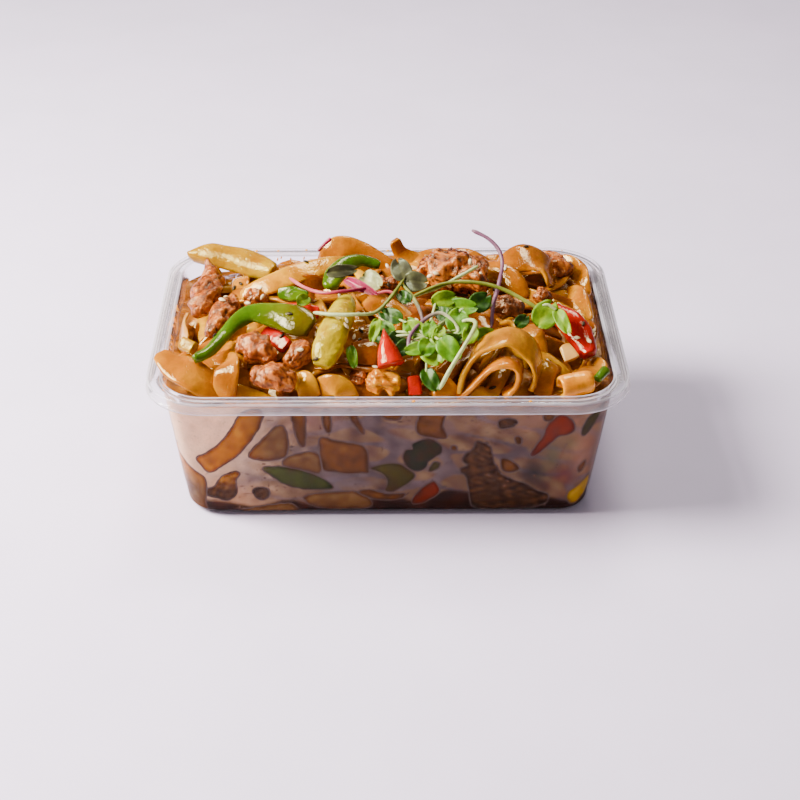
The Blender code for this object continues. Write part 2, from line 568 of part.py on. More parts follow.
def core_solid(pressing):
    """Return the heap's bare core, which fills the box and dips under the pieces that press on it."""
    rings = []
    for z in CORE_LEVELS:
        inset = WALL + CORE_INSET + fillet_inset(z)
        section = box_section(*wall_size(z, inset), *CORE_LAYOUT)
        rings.append(np.hstack([section, np.full((len(section), 1), z)]))
    edge = box_section(*wall_size(CORE_LEVELS[-1] + 1, WALL + CORE_INSET), *CORE_LAYOUT)
    for scale in CORE_SCALES:
        ring = []
        for x, y in edge * scale:
            z = dome(x, y) - CORE_SINK
            reach = np.hypot(pressing[:, 0] - x, pressing[:, 1] - y)
            near = reach < pressing[:, 3]
            if near.any():
                z = min(z, pressing[near, 2].min())
            ring.append((x, y, z))
        rings.append(ring)
    return loft(rings)


def tube_solid():
    """Return the rolled noodle: a strip wound once round, open at its ends."""
    axis = unit(np.asarray(TUBE_AXIS))
    side = unit(np.cross(axis, np.asarray(UP)))
    up = np.cross(side, axis)
    route = []
    for turn in np.linspace(0, 1, TUBE_RINGS):
        angle = math.radians(TUBE_START + TUBE_TURN * turn)
        radius = TUBE_RADIUS + TUBE_GROWTH * (turn - 0.5)
        route.append(np.asarray(TUBE_CENTRE) + radius * (side * math.cos(angle) + up * math.sin(angle)))
    return strip_solid(Strip(route, TUBE_LENGTH, TUBE_WALL, across=TUBE_AXIS, rings=TUBE_RINGS))


def pressing_points():
    """Return places under the toppings: x, y, the height of their underside, and how far round they press."""
    out = []
    for _, strip in STRIPS.values():
        for p, w in zip(catmull(strip.route, PRESS_STEPS), spread(strip.width, PRESS_STEPS)):
            out.append((p[0], p[1], p[2] - strip.thickness - 0.15 * w - GAP, w / 2 + PRESS_MARGIN))
    for _, morsel in MORSELS.values():
        for p, w in zip(catmull(morsel.route, PRESS_STEPS), spread(morsel.half_width, PRESS_STEPS)):
            out.append((p[0], p[1], p[2] - morsel.half_height * 1.2 - GAP, w + PRESS_MARGIN))
    return np.array(out)


def loose_wall_noodles(rng):
    """Return noodles pressed on the back and the two short sides, clear of other pieces."""
    taken = [np.array(p) for _, route, _ in PRESSED.values() for p in route]
    start, end = LOOSE_SPAN
    low, high = LOOSE_HEIGHTS
    out = []
    for k in range(LOOSE_WALL_NOODLES):
        middle = start + (WALL_ROUND - 2 * start) * (k + 0.5) / LOOSE_WALL_NOODLES
        middle = middle if middle < WALL_ROUND / 2 else middle - WALL_ROUND
        z = rng.choice(LOOSE_ROWS) + rng.uniform(-3, 3)
        slant = math.radians(rng.uniform(-60, 60))
        length = rng.uniform(18, 30)
        step = np.array([math.cos(slant), 0.7 * math.sin(slant)]) * length / 2
        route = [np.array([middle, z]) + step * t for t in (-1, 0, 1)]
        clear = all(np.linalg.norm(p - q) > LOOSE_KEEP_CLEAR for p in route for q in taken)
        inside = all(low < p[1] < high and start - 8 < abs(p[0]) < end for p in route)
        if clear and inside:
            out.append((route, [rng.uniform(6, 9), rng.uniform(9, 12), rng.uniform(6, 9)]))
    return out


def finish(name, colour, roughness, alpha=1.0):
    """Return a material with a colour, a roughness and, for the clear box, a low opacity."""
    material = bpy.data.materials.new(name)
    material.use_nodes = True
    shader = material.node_tree.nodes["Principled BSDF"]
    shader.inputs["Base Color"].default_value = (*colour, 1.0)
    shader.inputs["Roughness"].default_value = roughness
    shader.inputs["Metallic"].default_value = 0.0
    shader.inputs["Alpha"].default_value = alpha
    return material


def add_object(name, solid, material):
    """Make an object from a solid, with its faces pointing out."""
    mesh = bpy.data.meshes.new(name)
    mesh.from_pydata([tuple(p * MM) for p in solid.points], [], solid.faces)
    mesh.validate()
    work = bmesh.new()
    work.from_mesh(mesh)
    bmesh.ops.recalc_face_normals(work, faces=work.faces)
    work.to_mesh(mesh)
    work.free()
    obj = bpy.data.objects.new(name, mesh)
    bpy.context.scene.collection.objects.link(obj)
    mesh.materials.append(material)
    mesh.shade_smooth()
    mesh.set_sharp_from_angle(angle=SHARP_ANGLE)
    return obj


def keep_largest_shell(mesh):
    """Drop loose scraps and sealed hollows, so that one closed shell is left."""
    work = bmesh.new()
    work.from_mesh(mesh)
    bmesh.ops.triangulate(work, faces=work.faces)
    left = set(work.verts)
    shells = []
    while left:
        shell = {left.pop()}
        queue = list(shell)
        while queue:
            for edge in queue.pop().link_edges:
                for vert in edge.verts:
                    if vert in left:
                        left.discard(vert)
                        shell.add(vert)
                        queue.append(vert)
        shells.append(shell)
    shells.sort(key=len)
    spare = [vert for shell in shells[:-1] for vert in shell]
    bmesh.ops.delete(work, geom=spare, context="VERTS")
    work.to_mesh(mesh)
    work.free()


def fuse(name, base, extras, material, solver="EXACT"):
    """Join solids into one object with one Boolean union, and remove the pieces that went in."""
    obj = add_object(name, base, material)
    group = bpy.data.collections.new(name + "_pieces")
    bpy.context.scene.collection.children.link(group)
    pieces = []
    for k, solid in enumerate(extras):
        piece = add_object(f"{name}_piece_{k}", solid, material)
        bpy.context.scene.collection.objects.unlink(piece)
        group.objects.link(piece)
        pieces.append(piece)
    union = obj.modifiers.new("Join", "BOOLEAN")
    union.operation = "UNION"
    union.operand_type = "COLLECTION"
    union.collection = group
    union.solver = solver
    depsgraph = bpy.context.evaluated_depsgraph_get()
    joined = bpy.data.meshes.new_from_object(obj.evaluated_get(depsgraph))
    obj.modifiers.clear()
    obj.data = joined
    for piece in pieces:
        bpy.data.objects.remove(piece, do_unlink=True)
    bpy.data.collections.remove(group)
    keep_largest_shell(joined)
    joined.shade_smooth()
    joined.set_sharp_from_angle(angle=SHARP_ANGLE)
    return obj


def build_toppings(rng):
    """Make the pepper, onion and beef pieces that lie on the heap, each with the seeds on it."""
    for name, (colour, strip) in STRIPS.items():
        material = finish(name, colour, WET)
        if name in PEPPER_SEEDS:
            fuse(name, strip_solid(strip), [seed_on(strip, *place) for place in PEPPER_SEEDS[name]], material)
        else:
            add_object(name, strip_solid(strip), material)
    for name, (colour, morsel) in MORSELS.items():
        add_object(name, morsel_solid(morsel, rng), finish(name, colour, WET))


def build_cress():
    """Make the knot of sprouts as one solid, and the leaves and the stem that lie apart from it."""
    material = finish("cress", LEAF_GREEN, 0.5)
    heart = np.asarray(CRESS_HEART)
    nearest, farthest = STALK_REACH
    pieces = [stem_solid(route) for route in STEMS]
    for middle, along, length, width in LEAVES:
        pieces.append(leaf_solid(middle, along, length, width))
        foot = np.asarray(middle, float) - unit(np.asarray(along, float)) * length * 0.35
        if nearest < np.linalg.norm(foot - heart) < farthest:
            pieces.append(stem_solid([foot, heart], STALK_RADIUS, sides=3, count=3))
    knot = Morsel([heart - (5, 0, 0.8), heart, heart + (5, 0.5, 0)], 2.5, 1.4, 0.1, 5)
    fuse("cress", morsel_solid(knot, random.Random(SEED)), pieces, material, "MANIFOLD")
    for name, (middle, along, length, width, colour) in SINGLE_LEAVES.items():
        add_object(name, leaf_solid(middle, along, length, width), finish(name, colour, 0.5))
    add_object("sprout_stem_back", stem_solid(BACK_STEM), finish("sprout_stem_back", MAGENTA, 0.5))


def build_noodles(rng):
    """Make the heap: a core with the noodles that show fused on."""
    extras = [strip_solid(strip) for strip in NOODLES.values()]
    extras.append(tube_solid())
    extras += [pressed_solid(route, width, PRESSED_NOODLE) for route, width in WALL_NOODLES]
    extras += [pressed_solid(route, width, PRESSED_NOODLE) for route, width in loose_wall_noodles(rng)]
    extras += [seed_on(NOODLES[name], along, across) for name, along, across in NOODLE_SEEDS]
    fuse("noodles", core_solid(pressing_points()), extras, finish("noodles", AMBER, WET), "MANIFOLD")


def main():
    """Build the box and everything in it."""
    for obj in list(bpy.data.objects):
        bpy.data.objects.remove(obj, do_unlink=True)
    rng = random.Random(SEED)
    add_object("box", box_solid(), finish("clear_plastic", (0.85, 0.84, 0.86), 0.15, 0.3))
    build_noodles(rng)
    build_toppings(rng)
    for name, (colour, route, width) in PRESSED.items():
        add_object(name, pressed_solid(route, width, PRESSED_PIECE), finish(name, colour, WET))
    build_cress()


main()
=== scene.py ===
"""Noodle takeaway box: the finished look of the clear box, the noodles, the toppings and the sprouts.

Sizes are in millimetres and become metres when a mesh is made. The origin is at the middle of the
box's underside, +X runs along its long side to the right, +Y to the back and +Z up.
"""

from __future__ import annotations

import logging
import math
import random
from dataclasses import dataclass, field
from enum import Enum

import bmesh
import bpy
import numpy as np
from mathutils import Matrix, Vector
from mathutils.bvhtree import BVHTree
from mathutils.geometry import delaunay_2d_cdt

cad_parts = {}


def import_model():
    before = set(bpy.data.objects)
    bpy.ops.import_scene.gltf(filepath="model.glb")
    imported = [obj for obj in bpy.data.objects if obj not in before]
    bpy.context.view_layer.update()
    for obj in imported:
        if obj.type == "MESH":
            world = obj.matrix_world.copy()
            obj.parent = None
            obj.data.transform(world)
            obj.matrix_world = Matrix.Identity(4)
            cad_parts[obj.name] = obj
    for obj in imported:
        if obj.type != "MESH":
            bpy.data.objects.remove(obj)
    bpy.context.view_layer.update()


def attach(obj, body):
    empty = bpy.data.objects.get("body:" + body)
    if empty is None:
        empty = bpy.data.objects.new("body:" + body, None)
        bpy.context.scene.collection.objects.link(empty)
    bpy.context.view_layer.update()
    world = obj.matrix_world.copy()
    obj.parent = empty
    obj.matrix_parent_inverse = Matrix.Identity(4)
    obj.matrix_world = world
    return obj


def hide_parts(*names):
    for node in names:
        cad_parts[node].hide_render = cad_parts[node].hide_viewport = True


log = logging.getLogger("noodle_box")

Array = np.ndarray
Node = bpy.types.Node
Socket = bpy.types.NodeSocket
Span = tuple[float, float]
Three = tuple[float, float, float]
Four = tuple[float, float, float, float]

MM = 0.001
SEED = 41

# The clear box
BOX_LENGTH = 175.0
BOX_DEPTH = 120.0
BOX_HEIGHT = 57.0
RIM_RADIUS = 22.0
RIM_WIDTH = 5.0
RIM_SKIRT = 4.0
SKIRT_FLARE = 0.55
RIM_BEVEL = 0.5
BASE_LENGTH = 151.0
BASE_DEPTH = 96.0
BASE_RADIUS = 12.0
BASE_FILLET = 4.0
WALL = 0.7
FOOT_WIDTH = 7.0
FOOT_STEP = 0.6

# The heap
HEAP_EDGE = 52.0
HEAP_RISE = 14.0
HEAP_HALF_LENGTH = 82.0
HEAP_HALF_DEPTH = 54.0
CORE_SINK = 2.4
GAP = 0.35
PRESS_STEPS = 9
PRESS_MARGIN = 2.0
FILM_DEPTH = -0.14
PATCH_DEPTH = -0.4

FRONT_UP = (0.0, -0.8, 0.6)
UP_FRONT = (0.0, -0.4, 0.9)
UP = (0.0, 0.0, 1.0)

# Where each kind of piece starts to number its uneven patterns
ROLL_PATTERN = 5
NOODLE_PATTERNS = 10
TOPPING_PATTERNS = 60
FILLER_PATTERNS = 200
PATCH_PATTERNS = 300
STEM_PATTERNS = 400
LEAF_PATTERNS = 430
LEAF_STALK_PATTERNS = 460
SINGLE_LEAF_PATTERNS = 480
BACK_STEM_PATTERN = 490
LOOSE_PATTERNS = 700

# The photograph's camera: degrees, millimetres and pixels
IMAGE_SIZE = 800.0
SENSOR = 36.0
CAMERA_ELEVATION = 32.605
CAMERA_TURN = -1.073
CAMERA_DISTANCE = 647.016
CAMERA_TARGET = (4.94, 0.0, 20.625)
CAMERA_FOCAL = 1643.013
CAMERA_ROLL = 0.373


def srgb(red: float, green: float, blue: float) -> Array:
    """Turn a colour as seen on a screen, 0 to 255, into linear light."""
    c = np.array([red, green, blue], float) / 255.0
    return np.where(c <= 0.04045, c / 12.92, ((c + 0.055) / 1.055) ** 2.4)


class Tone(Enum):
    """The foods' colours, light, main and dark, deep enough for the strong studio light. The lit noodle
    colour holds painted light, and the dark beef colour is partly painted shade.
    """

    AMBER = ((198, 134, 2), (156, 86, 0), (84, 33, 0))
    PALE_NOODLE = ((222, 166, 10), (186, 120, 1), (118, 54, 0))
    DEEP_NOODLE = ((156, 84, 1), (118, 54, 0), (64, 24, 0))
    BEEF = ((196, 108, 32), (140, 60, 12), (42, 13, 3))
    # Partly painted shade: a darker beef colour for a piece that lies in shade
    BEEF_DARK_AND_SHADED = ((150, 82, 36), (94, 42, 14), (28, 10, 4))
    GREEN = ((112, 134, 12), (58, 88, 4), (20, 44, 2))
    BRINED = ((110, 96, 8), (68, 56, 2), (40, 28, 1))
    OLIVE = ((150, 150, 22), (104, 108, 8), (54, 58, 4))
    RED = ((188, 26, 4), (150, 5, 1), (80, 1, 1))
    ORANGE = ((206, 62, 2), (168, 16, 0), (98, 6, 0))
    YELLOW = ((186, 146, 2), (146, 100, 0), (104, 58, 0))
    STALK = ((206, 186, 6), (158, 130, 0), (92, 82, 0))
    ONION = ((216, 178, 104), (172, 116, 40), (120, 62, 6))
    OMELETTE = ((226, 158, 8), (184, 100, 1), (118, 48, 0))
    CRESS = ((138, 176, 16), (82, 130, 5), (24, 60, 3))
    CRESS_LIGHT = ((166, 190, 26), (114, 150, 8), (50, 84, 3))
    CRESS_DARK = ((70, 104, 14), (32, 66, 4), (10, 30, 3))
    GREY_LEAF = ((100, 98, 58), (64, 60, 38), (42, 28, 28))
    PALE_LEAF = ((204, 200, 140), (150, 146, 84), (84, 70, 40))
    MAGENTA = ((206, 30, 108), (152, 6, 62), (84, 2, 30))
    PINK_STEM = ((234, 140, 130), (206, 84, 96), (140, 36, 56))
    WHITE_STEM = ((226, 232, 182), (186, 196, 122), (112, 124, 56))
    OLIVE_STEM = ((172, 174, 76), (118, 122, 34), (66, 66, 16))
    PURPLE_STEM = ((178, 130, 146), (126, 78, 102), (72, 38, 58))
    BLACK_SEED = ((52, 46, 42), (18, 15, 14), (8, 7, 7))
    WHITE_SEED = ((250, 238, 204), (236, 210, 156), (184, 138, 80))
    FILM = ((114, 97, 91), (87, 71, 69), (49, 36, 34))
    SAUCE = ((65, 27, 6), (35, 12, 2), (14, 5, 2))
    MENISCUS = ((102, 82, 73), (82, 66, 61), (56, 42, 38))
    OIL = ((244, 196, 66), (216, 140, 24), (160, 84, 8))
    PRESSED_NOODLE = ((128, 84, 37), (101, 58, 20), (62, 31, 8))
    # Painted light: a brighter noodle colour for pieces that lie in shade, and for the left of the front wall
    # as if light came through the box's corner
    PAINTED_LIGHT_NOODLE = ((244, 178, 8), (224, 136, 1), (150, 72, 0))
    PRESSED_TAN = ((139, 108, 65), (112, 78, 42), (72, 40, 17))
    PRESSED_BEEF = ((106, 68, 41), (73, 43, 22), (36, 17, 9))
    PRESSED_GREEN = ((76, 84, 33), (52, 60, 16), (26, 35, 7))
    PRESSED_OLIVE = ((83, 71, 23), (60, 52, 11), (35, 30, 5))
    PRESSED_RED = ((88, 31, 19), (72, 13, 5), (40, 6, 3))
    PRESSED_ORANGE = ((138, 55, 10), (112, 28, 2), (67, 13, 2))
    PRESSED_YELLOW = ((210, 171, 13), (176, 134, 3), (115, 78, 2))
    PRESSED_LEAF = ((43, 54, 25), (21, 29, 11), (9, 15, 5))

    def mix(self, amount: Array) -> Array:
        """Blend the three colours.

        Args:
            amount: -1 for the dark colour, 0 for the main one and 1 for the light one.

        Returns:
            One linear colour for each amount.
        """
        amount = np.clip(np.asarray(amount, float), -1, 1)[..., None]
        light, main, dark = (srgb(*colour) for colour in self.value)
        return main + np.clip(amount, 0, 1) * (light - main) + np.clip(-amount, 0, 1) * (dark - main)


# Shapes


@dataclass
class Shape:
    """A mesh in the making: points in millimetres, faces, and a colour for each point."""

    points: Array
    faces: list
    tint: Array


def join(shapes: list[Shape]) -> Shape:
    """Put shapes side by side in one mesh.

    Args:
        shapes: the shapes to join.

    Returns:
        One shape that holds them all.
    """
    faces, start = [], 0
    for shape in shapes:
        faces.extend(tuple(i + start for i in face) for face in shape.faces)
        start += len(shape.points)
    return Shape(np.vstack([s.points for s in shapes]), faces, np.vstack([s.tint for s in shapes]))


def unit(vectors: Array) -> Array:
    """Return vectors scaled to length one."""
    return vectors / np.linalg.norm(vectors, axis=-1, keepdims=True)


def turns(count: int) -> Array:
    """Return evenly spaced angles round a circle."""
    return 2 * math.pi * np.arange(count) / count


def run(line: Array) -> float:
    """Return the length of a line of points."""
    return np.linalg.norm(np.diff(line, axis=0), axis=1).sum()


def catmull(route: list, count: int) -> Array:
    """Draw a smooth curve through a route.

    Args:
        route: the points that the curve passes through.
        count: how many points to return.

    Returns:
        Points along the curve.
    """
    knots = np.asarray(route, float)
    if len(knots) == 2:
        return knots[0] + (knots[1] - knots[0]) * np.linspace(0, 1, count)[:, None]
    ends = np.vstack([2 * knots[0] - knots[1], knots, 2 * knots[-1] - knots[-2]])
    t = np.linspace(0, len(knots) - 1, count)
    i = np.minimum(t.astype(int), len(knots) - 2)
    u = (t - i)[:, None]
    a, b, c, d = ends[i], ends[i + 1], ends[i + 2], ends[i + 3]
    square = (2 * a - 5 * b + 4 * c - d) * u ** 2
    cube = (3 * b - a - 3 * c + d) * u ** 3
    return 0.5 * (2 * b + (c - a) * u + square + cube)


def spread(value: object, count: int) -> Array:
    """Run smoothly through one value or a list of values, and return count of them."""
    values = np.atleast_1d(np.asarray(value, float))
    return np.interp(np.linspace(0, 1, count), np.linspace(0, 1, len(values)), values)


def frames(line: Array, face: object = None, across: object = None) -> tuple:
    """Find the directions along a line.

    Args:
        line: points of the line.
        face: the way a strip's broad side faces, where that is what is known.
        across: the way a strip's width runs, where that is what is known.

    Returns:
        The tangents, the sideways directions and the normals.
    """
    tangent = unit(np.gradient(line, axis=0))
    if across is not None:
        side = np.broadcast_to(np.asarray(across, float), line.shape)
        side = side - tangent * (side * tangent).sum(-1, keepdims=True)
    else:
        side = np.cross(np.asarray(face, float), tangent)
    side = unit(side)
    return tangent, side, np.cross(tangent, side)


def ripple(points: Array, wavelength: float, seed: int, waves: int = 8) -> Array:
    """Sum a few seeded waves into a smooth uneven value.

    Args:
        points: where to work it out, in millimetres.
        wavelength: the usual distance between two bumps, in millimetres.
        seed: which pattern.
        waves: how many waves are summed.

    Returns:
        A value for each point, mostly between -1 and 1.
    """
    rng = np.random.default_rng(seed)
    ways = unit(rng.normal(size=(waves, points.shape[-1])))
    pitch = 2 * math.pi / wavelength * rng.uniform(0.65, 1.5, waves)
    phase = rng.uniform(0, 2 * math.pi, waves)
    return np.sin((points @ ways.T) * pitch + phase).mean(-1) * 2.0


def smooth(value: Array) -> Array:
    """Ease a value from 0 to 1."""
    value = np.clip(value, 0, 1)
    return value * value * (3 - 2 * value)


def loft(rings: Array, tint: Array) -> Shape:
    """Join rings of equally many points into a closed solid with a fan at each end.

    Args:
        rings: an array of rings by points by three.
        tint: a colour for each of those points.

    Returns:
        The closed shape.
    """
    count, n = rings.shape[:2]
    points = np.vstack([rings.reshape(-1, 3), rings[0].mean(0), rings[-1].mean(0)])
    colours = np.vstack([tint.reshape(-1, 3), tint[0].mean(0), tint[-1].mean(0)])
    first, last = n * count, n * count + 1
    k = np.arange(n)
    after = (k + 1) % n
    faces = []
    for r in range(count - 1):
        a, b = r * n + k, r * n + after
        faces.extend(zip(a.tolist(), b.tolist(), (b + n).tolist(), (a + n).tolist()))
    faces.extend((first, int(j), int(i)) for i, j in zip(k, after))
    faces.extend((last, last - 1 - n + int(i), last - 1 - n + int(j)) for i, j in zip(k, after))
    return Shape(points, faces, colours)


def grid_faces(rows: int, columns: int, start: int = 0, wrap: bool = False) -> list:
    """List the quads of a grid of points.

    Args:
        rows: how many rows the grid has.
        columns: how many points a row has.
        start: the number of its first point.
        wrap: whether each row is joined round on itself.

    Returns:
        The quads, each as four point numbers.
    """
    faces = []
    for r in range(rows - 1):
        for c in range(columns if wrap else columns - 1):
            a, b = start + r * columns + c, start + r * columns + (c + 1) % columns
            faces.append((a, b, b + columns, a + columns))
    return faces


# The box's walls


def wall_size(z: Array, inset: Array) -> tuple:
    """Find the outer wall's outline at a height.

    Args:
        z: heights over the base.
        inset: how far the outline is moved inwards.

    Returns:
        The half length, half depth and corner radius.
    """
    t = z / BOX_HEIGHT
    half_x = BASE_LENGTH / 2 + (BOX_LENGTH / 2 - RIM_WIDTH - BASE_LENGTH / 2) * t
    half_y = BASE_DEPTH / 2 + (BOX_DEPTH / 2 - RIM_WIDTH - BASE_DEPTH / 2) * t
    radius = BASE_RADIUS + (RIM_RADIUS - RIM_WIDTH - BASE_RADIUS) * t
    return half_x - inset, half_y - inset, np.maximum(radius - inset, 1.0)


def fillet_inset(z: Array) -> Array:
    """Find how far the rounded lower edge of the box's inside stands in from the wall.

    Args:
        z: heights over the base.

    Returns:
        The distance in, 0 above the rounded edge.
    """
    radius = BASE_FILLET - WALL
    below = np.clip(1 - (z - WALL) / radius, 0, 1)
    return radius * (1 - np.sqrt(1 - below ** 2))


def wall_legs(z: Array, depth: Array) -> tuple:
    """Return the wall's size at a height and a depth in, and its straight, corner and side lengths."""
    half_x, half_y, radius = wall_size(z, WALL + depth + fillet_inset(z))
    return half_x, half_y, radius, half_x - radius, math.pi / 2 * radius, 2 * (half_y - radius)


def half_round(z: Array, depth: Array) -> Array:
    """Return the distance along the wall from the front's middle to the back's middle."""
    _, _, _, flat, quarter, side = wall_legs(z, depth)
    return 2 * flat + 2 * quarter + side


def on_wall(along: Array, z: Array, depth: Array) -> Array:
    """Find points on the inside of the wall.

    Args:
        along: distances along the wall from the front's middle, to the right if positive.
        z: heights.
        depth: how far in from the wall's inner face, negative for into the wall.

    Returns:
        The points.
    """
    along, z, depth = np.broadcast_arrays(np.asarray(along, float), z, depth)
    half_x, half_y, radius, flat, quarter, side = wall_legs(z, depth)
    left = np.abs(along)
    front, back = radius - half_y, half_y - radius
    first = (left - flat) / radius
    second = (left - flat - quarter - side) / radius
    turned = flat + quarter + side
    parts = [left < flat, left < flat + quarter, left < turned, left < flat + 2 * quarter + side]
    x = np.select(parts, [left, flat + radius * np.sin(first), half_x, flat + radius * np.cos(second)],
                  flat - (left - flat - 2 * quarter - side))
    y = np.select(parts, [-half_y, front - radius * np.cos(first), front + left - flat - quarter,
                          back + radius * np.sin(second)], half_y)
    return np.stack([np.where(along >= 0, 1, -1) * x, y, z], axis=-1)


def dome(x: Array, y: Array) -> Array:
    """Return the height of the heap over a place in the box."""
    u = ((np.abs(x) / HEAP_HALF_LENGTH) ** 4 + (np.abs(y) / HEAP_HALF_DEPTH) ** 4) ** 0.25
    return HEAP_EDGE + HEAP_RISE * (1 - np.minimum(u, 1.1) ** 3)


# Finishes

# The range that holds most of what a noise node gives
NOISE_SPAN = (0.3, 0.7)


class NodeSheet:
    """The node tree of one material, with short ways to add to it."""

    def __init__(self, name: str) -> None:
        """Start an empty material.

        Args:
            name: the material's name.
        """
        self.material = bpy.data.materials.new(name)
        self.material.use_nodes = True
        self.tree = self.material.node_tree
        self.tree.nodes.clear()

    def add(self, kind: str, inputs: dict | None = None, **settings: object) -> Node:
        """Add a shader node.

        Args:
            kind: the node's type, without the words ShaderNode.
            inputs: a value, or another node's output, for each named input.
            settings: the node's own settings.

        Returns:
            The node.
        """
        node = self.tree.nodes.new("ShaderNode" + kind)
        for name, value in settings.items():
            setattr(node, name, value)
        for name, value in (inputs or {}).items():
            if isinstance(value, Socket):
                self.tree.links.new(value, node.inputs[name])
            else:
                node.inputs[name].default_value = value
        return node

    def place(self) -> Socket:
        """Return the surface's place in the object's own space."""
        return self.add("TexCoord").outputs["Object"]

    def noise(self, size: float, detail: float = 3.0, stretch: tuple | None = None) -> Socket:
        """Add an uneven value over the surface.

        Args:
            size: the size of its patches in millimetres.
            detail: how much finer unevenness it has.
            stretch: how much denser the patches are along each axis, if not evenly.

        Returns:
            The value's socket.
        """
        place = self.place()
        if stretch:
            place = self.add("Mapping", {"Vector": place, "Scale": stretch}).outputs["Vector"]
        inputs = {"Vector": place, "Scale": 1.0 / (size * MM), "Detail": detail, "Roughness": 0.6}
        return self.add("TexNoise", inputs).outputs["Fac"]

    def span(self, value: Socket, source: tuple, target: tuple) -> Socket:
        """Return a value mapped from one range to another, kept inside the new range."""
        ends = dict(zip(("From Min", "From Max", "To Min", "To Max"), (*source, *target)))
        return self.add("MapRange", {"Value": value, **ends}).outputs["Result"]

    def cloud(self, size: float, detail: float, target: tuple) -> Socket:
        """Return a noise of a size in millimetres, mapped to a range."""
        return self.span(self.noise(size, detail), NOISE_SPAN, target)

    def times(self, first: object, second: object, clamped: bool = False) -> Socket:
        """Return two values multiplied, kept from 0 to 1 if clamped is set."""
        node = self.add("Math", {0: first, 1: second}, operation="MULTIPLY", use_clamp=clamped)
        return node.outputs["Value"]

    def bump(self, height: object, distance: float, under: object = None) -> Socket:
        """Add relief to the shading.

        Args:
            height: the socket that gives the relief's height.
            distance: how high it is, in millimetres.
            under: the normal of the relief that it lies on, if any.

        Returns:
            The normal's socket.
        """
        inputs = {"Height": height, "Distance": distance * MM, "Strength": 1.0}
        if under is not None:
            inputs["Normal"] = under
        return self.add("Bump", inputs).outputs["Normal"]

    def blend(self, amount: object, first: object, second: object, kind: str = "MIX") -> Socket:
        """Return two colours blended by an amount."""
        inputs = {"Fac": amount, "Color1": first, "Color2": second}
        return self.add("MixRGB", inputs, blend_type=kind).outputs["Color"]

    def mix(self, amount: object, first: Node, second: Node) -> Node:
        """Return two shaders mixed by an amount."""
        return self.add("MixShader", {0: amount, 1: first.outputs[0], 2: second.outputs[0]})

    def tint(self) -> Socket:
        """Return the colour that the mesh's own points hold."""
        return self.add("Attribute", attribute_name="tint").outputs["Color"]

    def finish(self, shader: Node) -> bpy.types.Material:
        """Join the last shader to the output and return the material."""
        self.add("OutputMaterial", {"Surface": shader.outputs[0]})
        return self.material


class Finish:
    """How a surface looks: each kind builds its own shader."""

    name: str

    def surface(self, sheet: NodeSheet) -> Node:
        """Return the shader, built on an empty sheet."""
        raise NotImplementedError

    def material(self) -> bpy.types.Material:
        """Find the finish's material, or make it the first time it is asked for.

        Returns:
            The material.
        """
        made = bpy.data.materials.get(self.name)
        if made:
            return made
        sheet = NodeSheet(self.name)
        return sheet.finish(self.surface(sheet))


@dataclass(frozen=True)
class FoodFinish(Finish):
    """A wet food surface: mottled colour, sauce stains, fine relief and gloss."""

    name: str
    roughness: Span = (0.16, 0.42)
    mottle: float = 2.2
    mottle_depth: Span = (0.72, 1.22)
    grain: float = 0.7
    relief: float = 0.10
    stain: Three = (112, 52, 12)
    stain_size: float = 11.0
    stain_amount: float = 0.35
    subsurface: float = 0.25
    gloss: float = 0.4
    shine: Three = (1.0, 0.74, 0.3)

    def surface(self, sheet: NodeSheet) -> Node:
        """Build the shader.

        Args:
            sheet: the empty node tree.

        Returns:
            The shader.
        """
        mottle = sheet.noise(self.mottle, 4.0)
        broad = sheet.noise(self.stain_size, 2.0)
        shade = sheet.span(mottle, NOISE_SPAN, self.mottle_depth)
        colour = sheet.blend(1.0, sheet.tint(), shade, "MULTIPLY")
        stained = sheet.span(broad, (0.48, 0.66), (0.0, self.stain_amount))
        colour = sheet.blend(stained, colour, (*srgb(*self.stain), 1.0))
        fine = sheet.bump(sheet.noise(self.grain, 3.0), self.relief)
        return sheet.add("BsdfPrincipled", {
            "Base Color": colour,
            "Roughness": sheet.span(broad, (0.35, 0.65), self.roughness),
            "Subsurface Weight": self.subsurface,
            "Subsurface Radius": (0.9, 0.45, 0.2),
            "Subsurface Scale": 0.002,
            "IOR": 1.45,
            "Specular IOR Level": self.gloss,
            "Specular Tint": (*self.shine, 1.0),
            "Normal": sheet.bump(mottle, 2.2 * self.relief, fine),
        })


@dataclass(frozen=True)
class FilmFinish(Finish):
    """The hazy film of steam and fat on the inside of the wall, with dark specks and streaks."""

    name: str = "hazy_film"
    speck: float = 1.5
    streak: float = 2.6
    streak_stretch: Three = (0.35, 0.35, 1.6)
    speck_colour: Three = (40, 28, 28)
    streak_colour: Three = (56, 32, 22)

    def surface(self, sheet: NodeSheet) -> Node:
        """Build the shader.

        Args:
            sheet: the empty node tree.

        Returns:
            The shader.
        """
        cloud = sheet.cloud(9.0, 3.0, (0.82, 1.14))
        colour = sheet.blend(1.0, sheet.tint(), cloud, "MULTIPLY")
        fog = sheet.cloud(0.8, 2.0, (0.93, 1.06))
        colour = sheet.blend(1.0, colour, fog, "MULTIPLY")
        field_of_specks = sheet.noise(self.speck, 3.0)
        patches = sheet.span(sheet.noise(14.0, 1.0), (0.45, 0.6), (0.0, 1.0))
        specks = sheet.span(field_of_specks, (0.625, 0.66), (0.0, 0.75))
        colour = sheet.blend(sheet.times(specks, patches), colour, (*srgb(*self.speck_colour), 1.0))
        streaks = sheet.span(sheet.noise(self.streak, 4.0, self.streak_stretch), (0.66, 0.71), (0.0, 0.55))
        colour = sheet.blend(streaks, colour, (*srgb(*self.streak_colour), 1.0))
        return sheet.add("BsdfPrincipled", {
            "Base Color": colour,
            "Roughness": 0.5,
            "IOR": 1.35,
            "Specular IOR Level": 0.08,
            "Normal": sheet.bump(field_of_specks, 0.12),
        })


